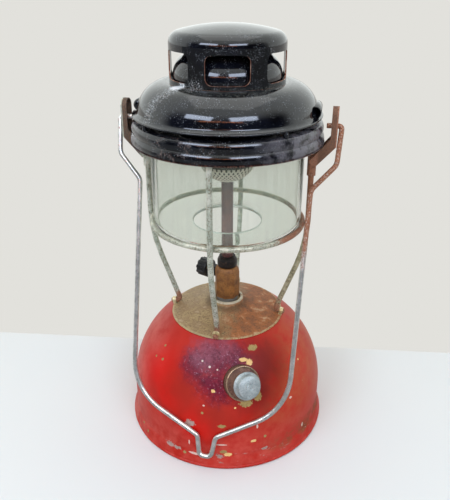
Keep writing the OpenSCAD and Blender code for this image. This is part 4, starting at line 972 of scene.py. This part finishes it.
# World: soft light, a dark room in front for reflections to show, and the plain backdrop for the camera
world = bpy.data.worlds.new("studio")
bpy.context.scene.world = world
world.use_nodes = True
tree = world.node_tree
tree.nodes.clear()
rays = addNode("LightPath").outputs
direction = addNode("TexCoord").outputs["Generated"]
x, y, z = addNode("SeparateXYZ", {0: direction}).outputs
frontX, frontY = polar(1.0, camera["azimuth"] - 90)
front = total(times(x, frontX), times(y, frontY))
room = times(step(front, -0.05, 0.35), step(z, 0.80, 0.35))
soft = addNode("Background", {"Color": "#f6f7f6", "Strength": 0.58})
mirror = addNode("Background", {"Color": blended(room, "#dde2e0", "#08090b"), "Strength": 2.0})
backdrop = addNode("Background", {"Color": studio["backdrop"], "Strength": 1.0})
lit = addNode("MixShader", {0: rays["Is Glossy Ray"], 1: soft.outputs[0], 2: mirror.outputs[0]})
through = most(rays["Is Camera Ray"], rays["Is Transmission Ray"])
seen = addNode("MixShader", {0: through, 1: lit.outputs[0], 2: backdrop.outputs[0]})
addNode("OutputWorld", {"Surface": seen.outputs[0]})


def panel(name, at, target, width, height, power, tone="#ffffff"):
    data = bpy.data.lights.new(name, "AREA")
    data.shape = "RECTANGLE"
    data.size, data.size_y, data.energy = width, height, power
    data.color = colour(tone)[:3]
    light = bpy.data.objects.new(name, data)
    light.location = at
    light.rotation_euler = (Vector(target) - Vector(at)).to_track_quat("-Z", "Y").to_euler()
    bpy.context.scene.collection.objects.link(light)


# Panel in front of the lantern: turned from the camera's side by an angle, and raised by another
def frontPanel(name, side, rise, *shape):
    level, height = polar(studio["lampDistance"], rise)
    x, y = polar(level, camera["azimuth"] + side - 90)
    panel(name, (x, y, studio["lampAim"] + height), (0, 0, studio["lampAim"]), *shape)


# Two windows give the pairs of highlights on the hood, and a warm strip lights the lower metal
frontPanel("left window", -38.5, 32.0, 0.9, 0.36, 12.0, "#dae7ff")
frontPanel("right window", 21.5, 32.0, 0.9, 0.36, 12.0, "#dae7ff")
frontPanel("sill", -8.5, 23.5, 1.5, 0.03, 2.0, "#ff9c66")
panel("ceiling", (0.0, 0.1, 1.8), (0, 0, 0), 1.6, 1.6, 9.0)

view = bpy.data.cameras.new("camera")
view.lens = camera["lens"]
view.sensor_width = 36
view.clip_start = 0.01
eye = bpy.data.objects.new("camera", view)
eyeX, eyeY = polar(camera["distance"] * mm, camera["azimuth"] - 90)
eye.location = (eyeX, eyeY, camera["height"] * mm)
eye.rotation_euler = (math.radians(90 + camera["pitch"]), 0, math.radians(camera["azimuth"] + camera["pan"]))
bpy.context.scene.collection.objects.link(eye)
bpy.context.scene.camera = eye
bpy.context.scene.view_settings.view_transform = "Standard"

print("finished")
